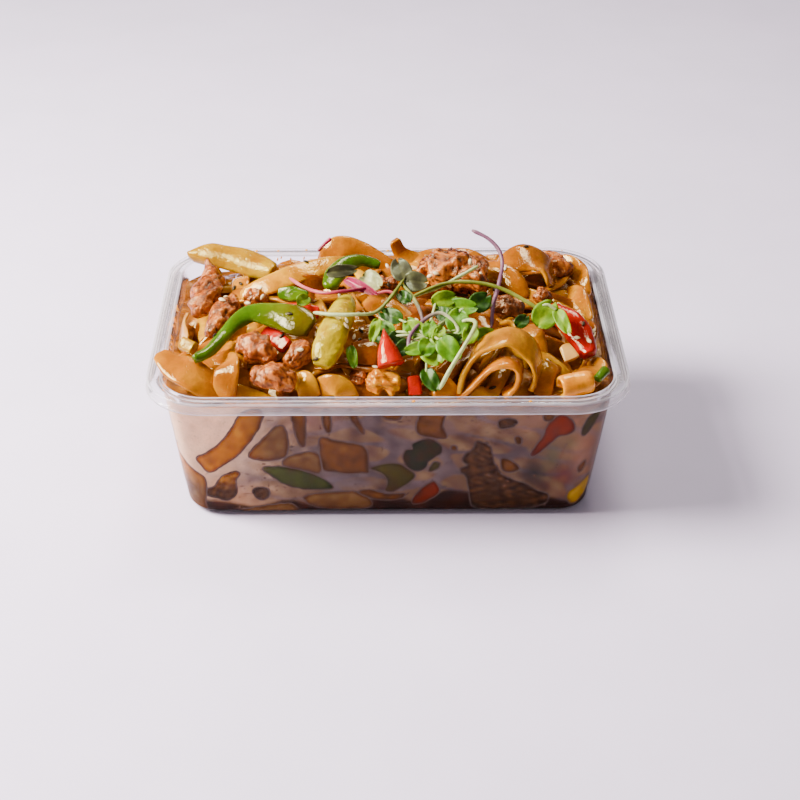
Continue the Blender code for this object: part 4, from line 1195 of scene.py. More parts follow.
@dataclass
class Studio:
    """The floor, the lights and the camera at the photograph's viewing angle, in metres."""

    key_power: float = 36.0
    key_size: float = 0.36
    key_place: tuple = (-0.62, -0.02, 0.55)
    gleam_power: float = 4.6
    gleam_size: float = 0.22
    gleam_place: tuple = (0.06, 0.40, 0.70)
    fill_power: float = 2.1
    fill_size: float = 0.7
    fill_place: tuple = (0.2, -1.0, 0.38)
    aim: tuple = (0.0, 0.0, 0.04)
    lamp_colour: tuple = (1.0, 0.985, 0.97)
    world_colour: tuple = (0.93, 0.92, 1.0, 1.0)
    world_strength: float = 0.2
    floor_reach: float = 3.0
    nearest: float = 0.01
    farthest: float = 20.0

    def build(self) -> None:
        """Make the floor, the lights and the camera."""
        self.floor()
        self.lights()
        self.camera()

    def floor(self) -> None:
        """Lay a wide pale plane under the box."""
        mesh = bpy.data.meshes.new("table")
        reach = self.floor_reach
        corners = [(x * reach, y * reach, 0) for x, y in ((-1, -1), (1, -1), (1, 1), (-1, 1))]
        mesh.from_pydata(corners, [], [(0, 1, 2, 3)])
        mesh.materials.append(TableFinish().material())
        table = bpy.data.objects.new("table", mesh)
        bpy.context.scene.collection.objects.link(table)

    def area(self, name: str, place: tuple, size: float, power: float, shine: bool) -> None:
        """Add a square soft light that points at the food.

        Args:
            name: the light's name.
            place: where it stands, in metres.
            size: its width in metres.
            power: its power in watts.
            shine: whether glossy surfaces show it.
        """
        light = bpy.data.lights.new(name, "AREA")
        light.size = size
        light.energy = power
        light.color = self.lamp_colour
        obj = bpy.data.objects.new(name, light)
        way = Vector(self.aim) - Vector(place)
        turned = way.to_track_quat("-Z", "Y").to_matrix().to_4x4()
        obj.matrix_world = Matrix.Translation(Vector(place)) @ turned
        obj.visible_glossy = shine
        bpy.context.scene.collection.objects.link(obj)

    def lights(self) -> None:
        """Add the key light from the left, a gleam from behind, a weak fill and the pale surroundings."""
        self.area("key_light", self.key_place, self.key_size, self.key_power, True)
        self.area("back_gleam", self.gleam_place, self.gleam_size, self.gleam_power, True)
        self.area("front_fill", self.fill_place, self.fill_size, self.fill_power, False)
        world = bpy.data.worlds.new("studio")
        bpy.context.scene.world = world
        world.use_nodes = True
        background = world.node_tree.nodes["Background"]
        background.inputs["Color"].default_value = self.world_colour
        background.inputs["Strength"].default_value = self.world_strength

    @staticmethod
    def axes() -> tuple:
        """Work out where the photograph's camera stood and faced.

        Returns:
            Its place in millimetres, and its forward, right and up directions.
        """
        tilt, turn = math.radians(CAMERA_ELEVATION), math.radians(CAMERA_TURN)
        back = np.array([math.sin(turn) * math.cos(tilt), -math.cos(turn) * math.cos(tilt), math.sin(tilt)])
        place = np.array(CAMERA_TARGET) + back * CAMERA_DISTANCE
        right = unit(np.cross(-back, UP))
        up = np.cross(right, -back)
        c, s = math.cos(math.radians(CAMERA_ROLL)), math.sin(math.radians(CAMERA_ROLL))
        return place, -back, c * right + s * up, -s * right + c * up

    def camera(self) -> None:
        """Set the camera where the photograph was taken."""
        place, forward, right, up = self.axes()
        data = bpy.data.cameras.new("camera")
        data.sensor_width = SENSOR
        data.lens = CAMERA_FOCAL / IMAGE_SIZE * SENSOR
        data.clip_start = self.nearest
        data.clip_end = self.farthest
        camera = bpy.data.objects.new("camera", data)
        matrix = Matrix.Identity(4)
        for column, axis in enumerate((right, up, -forward, place * MM)):
            for row in range(3):
                matrix[row][column] = axis[row]
        camera.matrix_world = matrix
        bpy.context.scene.collection.objects.link(camera)
        bpy.context.scene.camera = camera


@dataclass
class ClearBox:
    """The clear box: base with a raised middle, sloping walls, flat rim and its turned-down skirt."""

    corner_points: int = 16
    fillet_points: int = 9
    bevel_points: int = 5
    levels: tuple = (12.0, 26.0, 40.0, 51.0)
    bend: float = 0.5
    foot_slope: float = 1.0
    wall_haze: float = 0.006
    rim_haze: float = 0.06
    base_haze: float = 0.003
    base_gleam: float = 0.3
    edge_haze: float = 0.36

    def section(self, half_x: float, half_y: float, radius: float, z: float) -> Array:
        """Draw a rounded rectangle.

        Args:
            half_x: half its length.
            half_y: half its depth.
            radius: the radius of its corners.
            z: its height.

        Returns:
            Its points, the same number for each corner.
        """
        out = []
        for sx, sy, start in ((1, -1, -90), (1, 1, 0), (-1, 1, 90), (-1, -1, 180)):
            angle = np.radians(start + 90 * np.arange(self.corner_points) / (self.corner_points - 1))
            x = sx * (half_x - radius) + radius * np.cos(angle)
            y = sy * (half_y - radius) + radius * np.sin(angle)
            out.append(np.stack([x, y, np.full_like(x, z)], axis=1))
        return np.vstack(out)

    def build(self) -> None:
        """Make the box and put it in the place of its plain solid."""
        rings, haze = [], []

        def wall(z: float, inset: float, amount: float) -> None:
            """Add a ring that follows the wall."""
            rings.append(self.section(*(float(v) for v in wall_size(z, inset)), z))
            haze.append(amount)

        def rim(z: float, grow: float, amount: float) -> None:
            """Add a ring that follows the rim's outer edge."""
            rings.append(self.section(BOX_LENGTH / 2 + grow, BOX_DEPTH / 2 + grow, RIM_RADIUS + grow, z))
            haze.append(amount)

        foot = BASE_FILLET + FOOT_WIDTH
        top, hem = BOX_HEIGHT, BOX_HEIGHT - RIM_SKIRT
        fillet = np.radians(np.linspace(0, 90, self.fillet_points))
        bevel = np.radians(np.linspace(0, 90, self.bevel_points))
        wall(FOOT_STEP, foot + self.foot_slope, self.base_haze)
        wall(0, foot, self.base_haze)
        for a in fillet:
            wall(BASE_FILLET * (1 - math.cos(a)), BASE_FILLET * (1 - math.sin(a)), self.base_haze)
        for z in self.levels:
            wall(z, 0.0, self.wall_haze)
        wall(top - WALL - self.bend, 0.0, self.wall_haze)
        wall(top - WALL, -self.bend, self.rim_haze)
        rim(top - WALL, -WALL - self.bend, self.rim_haze)
        rim(top - WALL - self.bend, -WALL, self.rim_haze)
        rim(hem, SKIRT_FLARE - WALL, self.edge_haze)
        rim(hem, SKIRT_FLARE, self.edge_haze)
        rim(hem + self.bend, SKIRT_FLARE - 0.07, self.rim_haze)
        rim(top - 2 * RIM_BEVEL, 0.02, self.rim_haze)
        for a in bevel:
            rim(top - RIM_BEVEL * (1 - math.sin(a)), -RIM_BEVEL * (1 - math.cos(a)), self.edge_haze)
        rim(top, -2.2 * RIM_BEVEL, self.rim_haze)
        wall(top, WALL - 2.4 * RIM_BEVEL, self.rim_haze)
        for a in bevel[::-1]:
            wall(top - RIM_BEVEL * (1 - math.sin(a)), WALL - RIM_BEVEL * (1 - math.cos(a)), self.edge_haze)
        for z in (top - 2.2 * RIM_BEVEL, *self.levels[::-1]):
            wall(z, WALL, self.wall_haze)
        radius = BASE_FILLET - WALL
        for a in fillet[::-1]:
            wall(WALL + radius * (1 - math.cos(a)), WALL + radius * (1 - math.sin(a)), self.base_haze)
        wall(WALL, foot, self.base_haze)
        wall(FOOT_STEP + WALL, foot + self.foot_slope, self.base_haze)
        haze = np.array(haze)
        gleam = np.where(haze == self.base_haze, self.base_gleam, 1.0)
        tint = np.repeat(np.stack([haze, gleam, haze], axis=1)[:, None], len(rings[0]), axis=1)
        make_piece("clear_box", loft(np.array(rings), tint), PlasticFinish(), "clear_plastic", ("box",))


def pressing_points() -> Array:
    """Find the places under the toppings.

    Returns:
        For each place x, y, the height of the topping's underside, and how far round it presses.
    """
    out = []
    for strip in PEPPERS.values():
        for p, w in zip(catmull(strip.route, PRESS_STEPS), spread(strip.width, PRESS_STEPS)):
            out.append((p[0], p[1], p[2] - strip.thickness - 0.15 * w - GAP, w / 2 + PRESS_MARGIN))
    for chunk in CHUNKS.values():
        for p, w in zip(catmull(chunk.route, PRESS_STEPS), spread(chunk.half_width, PRESS_STEPS)):
            out.append((p[0], p[1], p[2] - chunk.half_height * 1.2 - GAP, w + PRESS_MARGIN))
    return np.array(out)


def heap_top(x: Array, y: Array, pressing: Array) -> Array:
    """Find the highest that loose noodles reach, under whatever presses on them.

    Args:
        x: places along the box.
        y: places across it.
        pressing: what presses on the noodles, as pressing_points gives it.

    Returns:
        The heights.
    """
    z = dome(x, y)
    away = np.hypot(pressing[:, 0] - x[..., None], pressing[:, 1] - y[..., None])
    held = np.where(away < pressing[:, 3], pressing[:, 2], 1e3).min(-1)
    return np.minimum(z, held)


@dataclass
class NoodleHeap:
    """The noodles that lie on the heap, over its core."""

    fillers: int = 170
    filler_width: Span = (6.5, 10.5)
    filler_length: Span = (34.0, 62.0)
    filler_thickness: float = 2.3
    middle_x: Span = (-74, 74)
    middle_y: Span = (-46, 48)
    bend: float = 0.35
    sink: Span = (0.2, 4.4)
    end_sink: tuple = (8.0, 1.6, 0, 0, 1.6, 8.0)
    spread_x: float = 79.0
    spread_y: float = 51.4
    tones: tuple = (Tone.AMBER, Tone.AMBER, Tone.PALE_NOODLE, Tone.DEEP_NOODLE)
    pressing: Array = field(default_factory=pressing_points)

    def filler(self, k: int, rng: random.Random) -> Shape:
        """Lay one loose noodle over the heap.

        Args:
            k: which noodle.
            rng: the seeded source of chance.

        Returns:
            The noodle.
        """
        x, y = rng.uniform(*self.middle_x), rng.uniform(*self.middle_y)
        heading = rng.uniform(0, math.pi)
        length = rng.uniform(*self.filler_length)
        bend = rng.uniform(-self.bend, self.bend)
        t = np.linspace(-0.5, 0.5, len(self.end_sink))
        px = x + length * (t * math.cos(heading) - bend * (t * t - 0.1) * math.sin(heading))
        py = y + length * (t * math.sin(heading) + bend * (t * t - 0.1) * math.cos(heading))
        width = rng.uniform(*self.filler_width)
        reach_x, reach_y = self.spread_x - width / 2, self.spread_y - width / 2
        reach = ((np.abs(px) / reach_x) ** 5 + (np.abs(py) / reach_y) ** 5) ** 0.2
        px, py = px / np.maximum(reach, 1.0), py / np.maximum(reach, 1.0)
        top = heap_top(px, py, self.pressing)
        sink = rng.uniform(*self.sink) + np.array(self.end_sink)
        lean = (rng.uniform(-0.8, 0.8), rng.uniform(-0.9, 0.4), 0.8)
        tone = rng.choice(self.tones)
        cup, warmth = rng.uniform(-0.6, 0.9), rng.uniform(-0.3, 0.2)
        ribbon = Ribbon(list(np.stack([px, py, top - sink], axis=1)), width, self.filler_thickness, face=lean,
                        cup=cup, frill=0.5, tone=tone, warmth=warmth)
        return ribbon.shape(FILLER_PATTERNS + k, 26, 14)

    def build(self) -> Shape:
        """Make the noodles that show and the loose ones between them.

        Returns:
            The shape of them all.
        """
        rng = random.Random(SEED)
        shapes = [ribbon.shape(NOODLE_PATTERNS + k) for k, ribbon in enumerate(NOODLES.values())]
        shapes.append(RolledNoodle().shape())
        shapes += [self.filler(k, rng) for k in range(self.fillers)]
        whole = join(shapes)
        make_piece("noodles_on_top", whole, NOODLE_FINISH, "noodle", ("noodles",))
        return whole


@dataclass
class FilmSpot:
    """A soft spot of colour on the film. Most are stains of food behind it; the two pale ones at the front
    left are painted light.
    """

    along: float
    z: float
    wide: float
    high: float
    colour: Three
    strength: float


STAINS_AND_PAINTED_LIGHT = (
    # The first two, pale cream, are painted light, as if light came through the box's front left corner; the
    # rest are stains of food behind the film
    FilmSpot(-78, 36, 26, 30, (255, 214, 170), 0.97),
    FilmSpot(-64, 45, 15, 12, (250, 204, 164), 0.9),
    FilmSpot(-60, 10, 12, 8, (176, 120, 78), 0.6),
    FilmSpot(-28, 46, 10, 5, (140, 100, 84), 0.6),
    FilmSpot(15, 44, 14, 6, (132, 98, 74), 0.5),
    FilmSpot(54, 47, 16, 5, (150, 108, 84), 0.55),
    FilmSpot(54, 21, 5.5, 6, (26, 28, 28), 0.85),
    FilmSpot(60, 29, 3.0, 6, (78, 80, 54), 0.7),
    FilmSpot(67, 35, 3.5, 4, (78, 80, 46), 0.7),
    FilmSpot(65, 19, 4.5, 5.5, (76, 24, 22), 0.75),
    FilmSpot(72, 30, 6, 10, (146, 100, 74), 0.7),
    FilmSpot(-52, 18, 5, 3, (70, 62, 68), 0.5),
    FilmSpot(-15, 16, 9, 3, (104, 96, 100), 0.6),
    FilmSpot(140, 36, 50, 26, (140, 84, 46), 0.85),
    FilmSpot(-140, 38, 52, 24, (170, 106, 56), 0.85),
    FilmSpot(240, 36, 70, 26, (134, 82, 44), 0.85),
    FilmSpot(-240, 36, 60, 26, (134, 82, 44), 0.85),
)


@dataclass
class WallFilm:
    """The core of the filling: its hazy skin along the wall, its underside and its sauced top."""

    columns: int = 620
    rows: int = 60
    front_top: float = 52.0
    far_top: float = 49.5
    front_reach: float = 92.0
    rough_height: float = 45.0
    fade_end: float = 96.0
    fade: float = 22.0
    sauce_level: float = 6.2
    sauce_wave: float = 1.8
    sauce_rise: float = 4.6
    sauce_middle: float = 30.0
    sauce_reach: float = 32.0
    pressing: Array = field(default_factory=pressing_points)

    def colour(self, along: Array, z: Array) -> Array:
        """Work out the film's colour.

        Args:
            along: distances along the wall.
            z: heights.

        Returns:
            A colour for each place.
        """
        flat = np.stack([along, z], axis=-1)
        tint = Tone.FILM.mix(0.3 * ripple(flat, 26.0, 3) + 0.25 * ripple(flat, 9.0, 4))
        strips = smooth((np.abs(ripple(flat * (0.55, 1.0), 15.0, 21)) - 0.22) / 0.12)
        tint = tint + 0.6 * strips[..., None] * (Tone.PRESSED_TAN.mix(ripple(flat, 9.0, 22)) - tint)
        # Stains of food behind the film, and the pale spots of painted light at the front left
        for film_spot in STAINS_AND_PAINTED_LIGHT:
            reach = ((along - film_spot.along) / film_spot.wide) ** 2 + ((z - film_spot.z) / film_spot.high) ** 2
            weight = film_spot.strength * np.exp(-reach * (1 + 0.35 * ripple(flat, 6.0, 5)))
            tint = tint + weight[..., None] * (srgb(*film_spot.colour) - tint)
        # Partly painted light: the film's top along the sides and back turns to the amber noodle colour, for
        # the noodles there and to lift the shaded gap by the wall
        upper = 0.75 * smooth((z - 42) / 5) * smooth((np.abs(along) - self.front_reach) / 10)
        tint = tint + upper[..., None] * (Tone.AMBER.mix(0.8 * ripple(flat, 8.0, 23)) - tint)
        level = self.sauce_level + self.sauce_wave * ripple(flat * (1, 0), 22.0, 8)
        level = level + self.sauce_rise * np.exp(-((along - self.sauce_middle) / self.sauce_reach) ** 2)
        sunk = smooth((level - z) / 2.4 + 0.5)
        return tint + sunk[..., None] * (Tone.SAUCE.mix(0.5 * ripple(flat, 12.0, 9)) - tint)

    def build(self) -> None:
        """Make the skin and the sauced top."""
        share = np.linspace(-1, 1, self.columns, endpoint=False)
        guess = share * half_round(np.array(self.rough_height), np.array(FILM_DEPTH))
        front = smooth((self.fade_end - np.abs(guess)) / self.fade)
        top = self.far_top + (self.front_top - self.far_top) * front
        top = top + 1.1 * ripple(guess[:, None] * (1, 0), 19.0, 14) * smooth((np.abs(guess) - 60) / 20)
        high = WALL + 0.05 + (top[None, :] - WALL) * (np.linspace(0, 1, self.rows) ** 0.9)[:, None]
        along = share[None, :] * half_round(high, FILM_DEPTH)
        skin = on_wall(along, high, FILM_DEPTH)
        tint = self.colour(along, high)
        under = skin[0] * (0.86, 0.8, 1.0) + (0, 0, FOOT_STEP)
        rings = np.concatenate([under[None], skin])
        points = np.vstack([rings.reshape(-1, 3), [(0, 0, WALL + FOOT_STEP)]])
        colours = np.vstack([tint[0], tint.reshape(-1, 3), tint[0].mean(0)])
        faces = grid_faces(self.rows + 1, self.columns, wrap=True)
        middle = len(points) - 1
        faces += [(c, middle, (c + 1) % self.columns) for c in range(self.columns)]
        make_piece("hazy_film", Shape(points, faces, colours), FilmFinish(), "noodle")
        self.sauced_top(skin[-1])

    def sauced_top(self, edge: Array) -> None:
        """Make the core's uneven top inside the film's upper edge.

        Args:
            edge: the points of the film's upper edge.
        """
        edge = edge[::2]
        scales = np.concatenate([[1.0, 0.99], np.linspace(0.975, 0.02, 46)])
        rings = []
        for scale in scales:
            x, y = edge[:, 0] * scale, edge[:, 1] * scale
            z = heap_top(x, y, self.pressing) - CORE_SINK - 1.2
            z = z + 0.9 * ripple(np.stack([x, y], axis=1), 9.0, 31)
            rise = smooth((1 - scale) / 0.14)
            rings.append(np.stack([x, y, edge[:, 2] + rise * (z - edge[:, 2])], axis=1))
        rings = np.array(rings)
        points = np.vstack([rings.reshape(-1, 3), rings[-1].mean(0)])
        faces = grid_faces(len(scales), len(edge), wrap=True)
        last = len(points) - 1
        start = last - len(edge)
        faces += [(start + c, start + (c + 1) % len(edge), last) for c in range(len(edge))]
        tint = Tone.AMBER.mix(0.7 * ripple(points, 7.0, 33) - 0.25)
        make_piece("filling_core", Shape(points, faces, tint), CORE_FINISH, "noodle")


class Contact(Enum):
    """What a piece on the wall is: its colours as they show through the plastic, and its material slot."""

    NOODLE = (Tone.PRESSED_NOODLE, "noodle")
    TAN_NOODLE = (Tone.PRESSED_TAN, "noodle")
    BEEF = (Tone.PRESSED_BEEF, "beef")
    GREEN = (Tone.PRESSED_GREEN, "green_pepper")
    OLIVE = (Tone.PRESSED_OLIVE, "green_pepper")
    RED = (Tone.PRESSED_RED, "red_pepper")
    ORANGE = (Tone.PRESSED_ORANGE, "orange_pepper")
    YELLOW = (Tone.PRESSED_YELLOW, "yellow_pepper")
    LEAF = (Tone.PRESSED_LEAF, "cress")

    @property
    def tone(self) -> Tone:
        """Return its colours."""
        return self.value[0]

    @property
    def slot(self) -> str:
        """Return its material slot."""
        return self.value[1]


def cut_corners(outline: list, times: int = 3) -> Array:
    """Round the corners of a closed outline.

    Args:
        outline: its points.
        times: how often each corner is cut.

    Returns:
        The rounded outline.
    """
    points = np.asarray(outline, float)
    for _ in range(times):
        after = np.roll(points, -1, axis=0)
        points = np.stack([0.78 * points + 0.22 * after, 0.22 * points + 0.78 * after], axis=1).reshape(-1, 2)
    return points


def even_steps(outline: Array, step: float) -> Array:
    """Walk round a closed outline.

    Args:
        outline: its points.
        step: the distance between two points of the walk.

    Returns:
        The points of the walk, at least 12.
    """
    closed = np.vstack([outline, outline[:1]])
    length = np.concatenate([[0], np.cumsum(np.linalg.norm(np.diff(closed, axis=0), axis=1))])
    places = np.linspace(0, length[-1], max(int(length[-1] / step), 12), endpoint=False)
    return np.stack([np.interp(places, length, closed[:, i]) for i in (0, 1)], axis=1)


def ribbon_outline(route: list, width: object, count: int = 7) -> list:
    """Draw the outline of a strip that lies along the wall.

    Args:
        route: its route, in distance along the wall and height.
        width: its width, or widths that it runs through.
        count: how many points each side of it has.

    Returns:
        The outline's points.
    """
    flat = catmull([(a, z, 0) for a, z in route], count)[:, :2]
    tangent = unit(np.gradient(flat, axis=0))
    across = np.stack([-tangent[:, 1], tangent[:, 0]], axis=1) * spread(width, count)[:, None] / 2
    return list(flat + across) + list((flat - across)[::-1])


@dataclass
class WallPatch:
    """Food pressed on the clear wall: its outline in distance along the wall and height."""

    contact: Contact
    outline: list
    depth: float = PATCH_DEPTH
    lumps: float = 0.0
    wobble: float = 0.16
    rimmed: bool = True
    edge_step: float = 0.55
    inner_step: float = 0.6

    def edge(self, seed: int) -> Array:
        """Round the outline and make it a little uneven.

        Args:
            seed: which uneven pattern.

        Returns:
            The points of the wet edge.
        """
        line = even_steps(cut_corners(self.outline), self.edge_step)
        out = unit(np.roll(line, -1, axis=0) - np.roll(line, 1, axis=0))[:, ::-1] * (1, -1)
        push = self.wobble * ripple(line, 4.5, seed) + 0.12 * ripple(line, 1.8, seed + 1)
        return line + out * push[:, None]

    def shape(self, seed: int) -> Shape:
        """Fill the outline with a low cushion that reaches into the wall.

        Args:
            seed: which uneven pattern.

        Returns:
            The patch and the pale wet rim round it.
        """
        edge = self.edge(seed)
        low, high = edge.min(0), edge.max(0)
        a, z = np.meshgrid(*(np.arange(low[i], high[i], self.inner_step) for i in (0, 1)))
        inner = np.stack([a.ravel(), z.ravel()], axis=1)
        inner = inner[self.inside(inner, edge)]
        flat = np.vstack([edge, inner[self.distance(inner, edge) > 0.35]])
        ring = list(range(len(edge)))
        found = delaunay_2d_cdt([Vector(p) for p in flat], [], [ring], 1, 1e-4)
        flat = np.array([tuple(v) for v in found[0]])
        gap = self.distance(flat, edge)
        bulge = smooth(gap / 0.8)
        relief = self.lumps * ripple(flat, 3.4, seed + 2)
        start = FILM_DEPTH - 0.02 if self.rimmed else self.depth
        points = on_wall(flat[:, 0], flat[:, 1], start + (self.depth - start) * bulge + 0.05 * relief)
        height = (flat[:, 1] - low[1]) / max(high[1] - low[1], 1e-6)
        # Darker towards the bottom, partly sauce and partly painted shade, and darker along the edge
        amount = 0.5 * height - 0.5 - 0.75 * (1 - smooth(gap / 1.5))
        amount = amount + 0.3 * ripple(flat, 7.0, seed + 3) + relief
        tint = self.contact.tone.mix(amount)
        # Painted light: pieces on the left of the front wall are blended to the lit noodle colour, as if
        # light came through the box's left corner
        painted_light = 0.85 * smooth((-42 - flat[:, 0]) / 22) * smooth((flat[:, 1] - 10) / 18) * (flat[:, 0] > -95)
        tint = tint + painted_light[:, None] * (Tone.PAINTED_LIGHT_NOODLE.mix(amount) - tint)
        patch = Shape(points, [tuple(f) for f in found[2]], tint)
        return join([patch, self.wet_rim(edge)]) if self.rimmed else patch

    @staticmethod
    def distance(points: Array, edge: Array) -> Array:
        """Return how far each point lies from the nearest point of the edge."""
        return np.linalg.norm(points[:, None] - edge[None], axis=2).min(1)

    @staticmethod
    def inside(points: Array, edge: Array) -> Array:
        """Find which points lie inside a closed edge.

        Args:
            points: the points to test.
            edge: the edge's points.

        Returns:
            True for each point inside.
        """
        a, b = edge, np.roll(edge, -1, axis=0)
        x, y = points[:, :1], points[:, 1:]
        crosses = (a[:, 1] > y) != (b[:, 1] > y)
        rise = np.where(np.abs(b[:, 1] - a[:, 1]) < 1e-9, 1e-9, b[:, 1] - a[:, 1])
        return (crosses & (x < (b[:, 0] - a[:, 0]) * (y - a[:, 1]) / rise + a[:, 0])).sum(1) % 2 == 1

    def wet_rim(self, edge: Array) -> Shape:
        """Make the narrow pale band where the wet edge meets the film.

        Args:
            edge: the points of the wet edge.

        Returns:
            The band.
        """
        turn = np.roll(edge, -1, axis=0) - np.roll(edge, 1, axis=0)
        out = unit(turn)[:, ::-1] * (1, -1)
        area = (edge[:, 0] * np.roll(edge[:, 1], -1) - edge[:, 1] * np.roll(edge[:, 0], -1)).sum()
        out = out if area > 0 else -out
        rows = []
        for grow, depth in ((-0.1, 0.02), (0.12, -0.13), (0.38, -0.10), (0.62, 0.02)):
            place = edge + out * grow
            rows.append(on_wall(place[:, 0], place[:, 1], FILM_DEPTH + depth))
        points = np.array(rows).reshape(-1, 3)
        pale = Tone.MENISCUS.mix(np.concatenate([np.full(len(edge), v) for v in (-0.4, 0.2, 0.0, -0.3)]))
        return Shape(points, grid_faces(4, len(edge), wrap=True), pale)


FRONT_PATCHES = {
    "wall_noodles": (
        WallPatch(Contact.NOODLE, [(-52, 51), (-44, 51), (-47, 42), (-51, 35.5), (-55, 29.5), (-61.5, 24.5),
            (-65.5, 21), (-68, 23.5), (-71, 27.5), (-67, 30), (-60.5, 35.5), (-56.5, 42)]),
        WallPatch(Contact.TAN_NOODLE, [(-52.3, 28.5), (-46, 36.5), (-41, 43), (-38, 44), (-36.5, 38),
            (-36.7, 29), (-44, 26.7)]),
        WallPatch(Contact.TAN_NOODLE, [(-38.5, 28.3), (-25.5, 32.5), (-24.3, 19.8), (-31, 22.7),
            (-38.6, 24.2)]),
        WallPatch(Contact.NOODLE, [(-25.3, 37.7), (-22.8, 38), (-19.2, 36.1), (-7.7, 34.1), (-7.7, 23),
            (-7.1, 21), (-11.4, 21), (-15.2, 20.4), (-19.6, 21.8), (-24.2, 21.8), (-25, 31)], lumps=0.12),
        WallPatch(Contact.NOODLE, [(-35.2, 51), (-29.8, 51), (-30.3, 35.5), (-31, 33.2), (-32.6, 35.3),
            (-34, 43)]),
        WallPatch(Contact.NOODLE, [(-24, 51), (-20.6, 51), (-20.8, 41.3), (-21.7, 39.8), (-23, 41.5)]),
        WallPatch(Contact.NOODLE, [(-15.4, 51), (-12.6, 51), (-9, 41.2), (-8.8, 39.4), (-10.4, 40)]),
        WallPatch(Contact.NOODLE, [(-3.5, 51), (5.4, 51), (4.4, 46), (-2, 46.6)]),
        WallPatch(Contact.NOODLE, [(11.6, 51), (21, 51), (18.8, 43.2), (21.3, 37.9), (19, 37.4), (9, 39.2)]),
        WallPatch(Contact.TAN_NOODLE, [(-80, 25), (-74, 21.5), (-67.6, 18.8), (-67.5, 13), (-68.6, 7),
            (-68, 1), (-78, 1), (-88, 8), (-88, 24)]),
        WallPatch(Contact.TAN_NOODLE, [(-55.8, 0.8), (-55.3, 2.7), (-44, 5), (-36, 6.2), (-32, 0.8)]),
        WallPatch(Contact.TAN_NOODLE, [(-32.3, 9.9), (-17, 11.6), (-12.4, 11.9), (-6.1, 7.3), (-6.5, 3.2),
            (-23.5, 3.2), (-29.8, 5.2)]),
        WallPatch(Contact.NOODLE, [(-11.9, 11.2), (-7.5, 12.9), (-3.1, 10.8), (1.6, 9.9), (7, 10.8),
            (4.7, 7.8), (-3.1, 7.3), (-7.8, 9)]),
        WallPatch(Contact.NOODLE, [(41, 28), (44.5, 26.7), (48.8, 22.9), (46.3, 21.2), (42, 20.8)]),
        WallPatch(Contact.NOODLE, [(45.8, 38.2), (48.2, 37.6), (48, 34.2), (46.2, 34.4)]),
        WallPatch(Contact.NOODLE, [(22.8, 33.8), (24.8, 33.8), (24.6, 31.6), (22.8, 31.8)]),
        WallPatch(Contact.NOODLE, [(55.4, 48.4), (59.2, 48.6), (58.6, 45.2), (55.8, 45.4)]),
        WallPatch(Contact.NOODLE, [(69.8, 22), (73.5, 25.5), (72.6, 20.5), (70.6, 19.4)]),
    ),
    "pressed_green_pepper": (
        WallPatch(Contact.GREEN, [(-47.5, 23.9), (-38.8, 24.1), (-31.2, 21.8), (-24.3, 18.4), (-19.4, 13.2),
            (-26.5, 12.8), (-32.7, 13), (-38.9, 15.5), (-42.5, 19)]),),
    "pressed_olive_pepper": (
        WallPatch(Contact.OLIVE, [(-7.5, 23), (-2, 25), (3.2, 25.8), (9.5, 20.5), (10, 18.3), (2, 11.4),
            (-1.6, 11.8), (0.2, 16.8), (-1.7, 20.3), (-5.2, 22.3)]),),
    "pressed_cress": (
        WallPatch(Contact.LEAF, [(8, 34.5), (12.4, 37), (16, 36.9), (19.5, 33.6), (19.3, 30.3), (16.4, 28.4),
            (14, 26), (13.7, 23), (10.6, 21.2), (6.6, 23.5), (5, 28.5), (6, 32.3), (9.4, 31.6)], lumps=0.35),
        WallPatch(Contact.OLIVE, [(16.5, 26.4), (19, 25.6), (18.4, 23), (14.9, 21.1), (15.3, 24)]),),
    "pressed_orange_pepper": (
        WallPatch(Contact.ORANGE, [(8.6, 6.3), (10, 10.2), (15.7, 16.4), (17.4, 16), (19.3, 11.3),
            (15.8, 7.7), (10, 4.8)]),),
    "pressed_beef": (
        WallPatch(Contact.BEEF, [(31.5, 35.6), (33.6, 35.7), (37, 33.7), (37.9, 26.4), (39.6, 23.7),
            (40.5, 20.7), (44, 18), (47, 16.3), (50.5, 15.3), (55, 11.5), (60, 10), (58.5, 4), (41, 2.4),
            (31, 3), (29.7, 14), (29, 18.7), (26, 22), (27.5, 23.3), (29.4, 24.4), (27.2, 26), (27.7, 29.5),
            (31.3, 32.4)], lumps=0.6),
        WallPatch(Contact.BEEF, [(39.2, 45), (41.2, 46.4), (45, 46.2), (46.4, 44.6), (44, 42.4), (40, 41.8)],
            lumps=0.4),),
    "pressed_carrot": (
        WallPatch(Contact.ORANGE, [(51.5, 30.2), (56.3, 38), (57, 43.2), (61, 48.4), (64.3, 47.4),
            (67.5, 42.4), (65.8, 39.2), (61.8, 38.8), (59.4, 35.8), (55.2, 30.6), (52.6, 28.4)]),),
    "pressed_olive_strip": (
        WallPatch(Contact.OLIVE, [(69.8, 39), (71, 44.5), (75.4, 48.4), (81.5, 50.8), (78, 46), (73, 39),
            (70.8, 37.2)]),),
    "pressed_yellow_bit": (
        WallPatch(Contact.YELLOW, [(66.5, 10.2), (70, 12.5), (77, 16), (77.6, 11.5), (75.5, 7), (71, 3.8),
            (67, 5.4)]),),
    "pressed_beef_left": (
        WallPatch(Contact.BEEF, [(-55.8, 22), (-58, 21.2), (-62, 19), (-64, 14), (-67.3, 13.2), (-67.6, 9.4),
            (-64, 9), (-60, 7.2), (-56.8, 9.8), (-56.2, 14), (-56.8, 17.8), (-54.5, 20.7)], lumps=0.6),),
    "pressed_beef_bit": (
        WallPatch(Contact.BEEF, [(-50.4, 13.6), (-44.6, 13.8), (-44.2, 9.6), (-47, 7.4), (-49.6, 9)],
            lumps=0.5),),
}

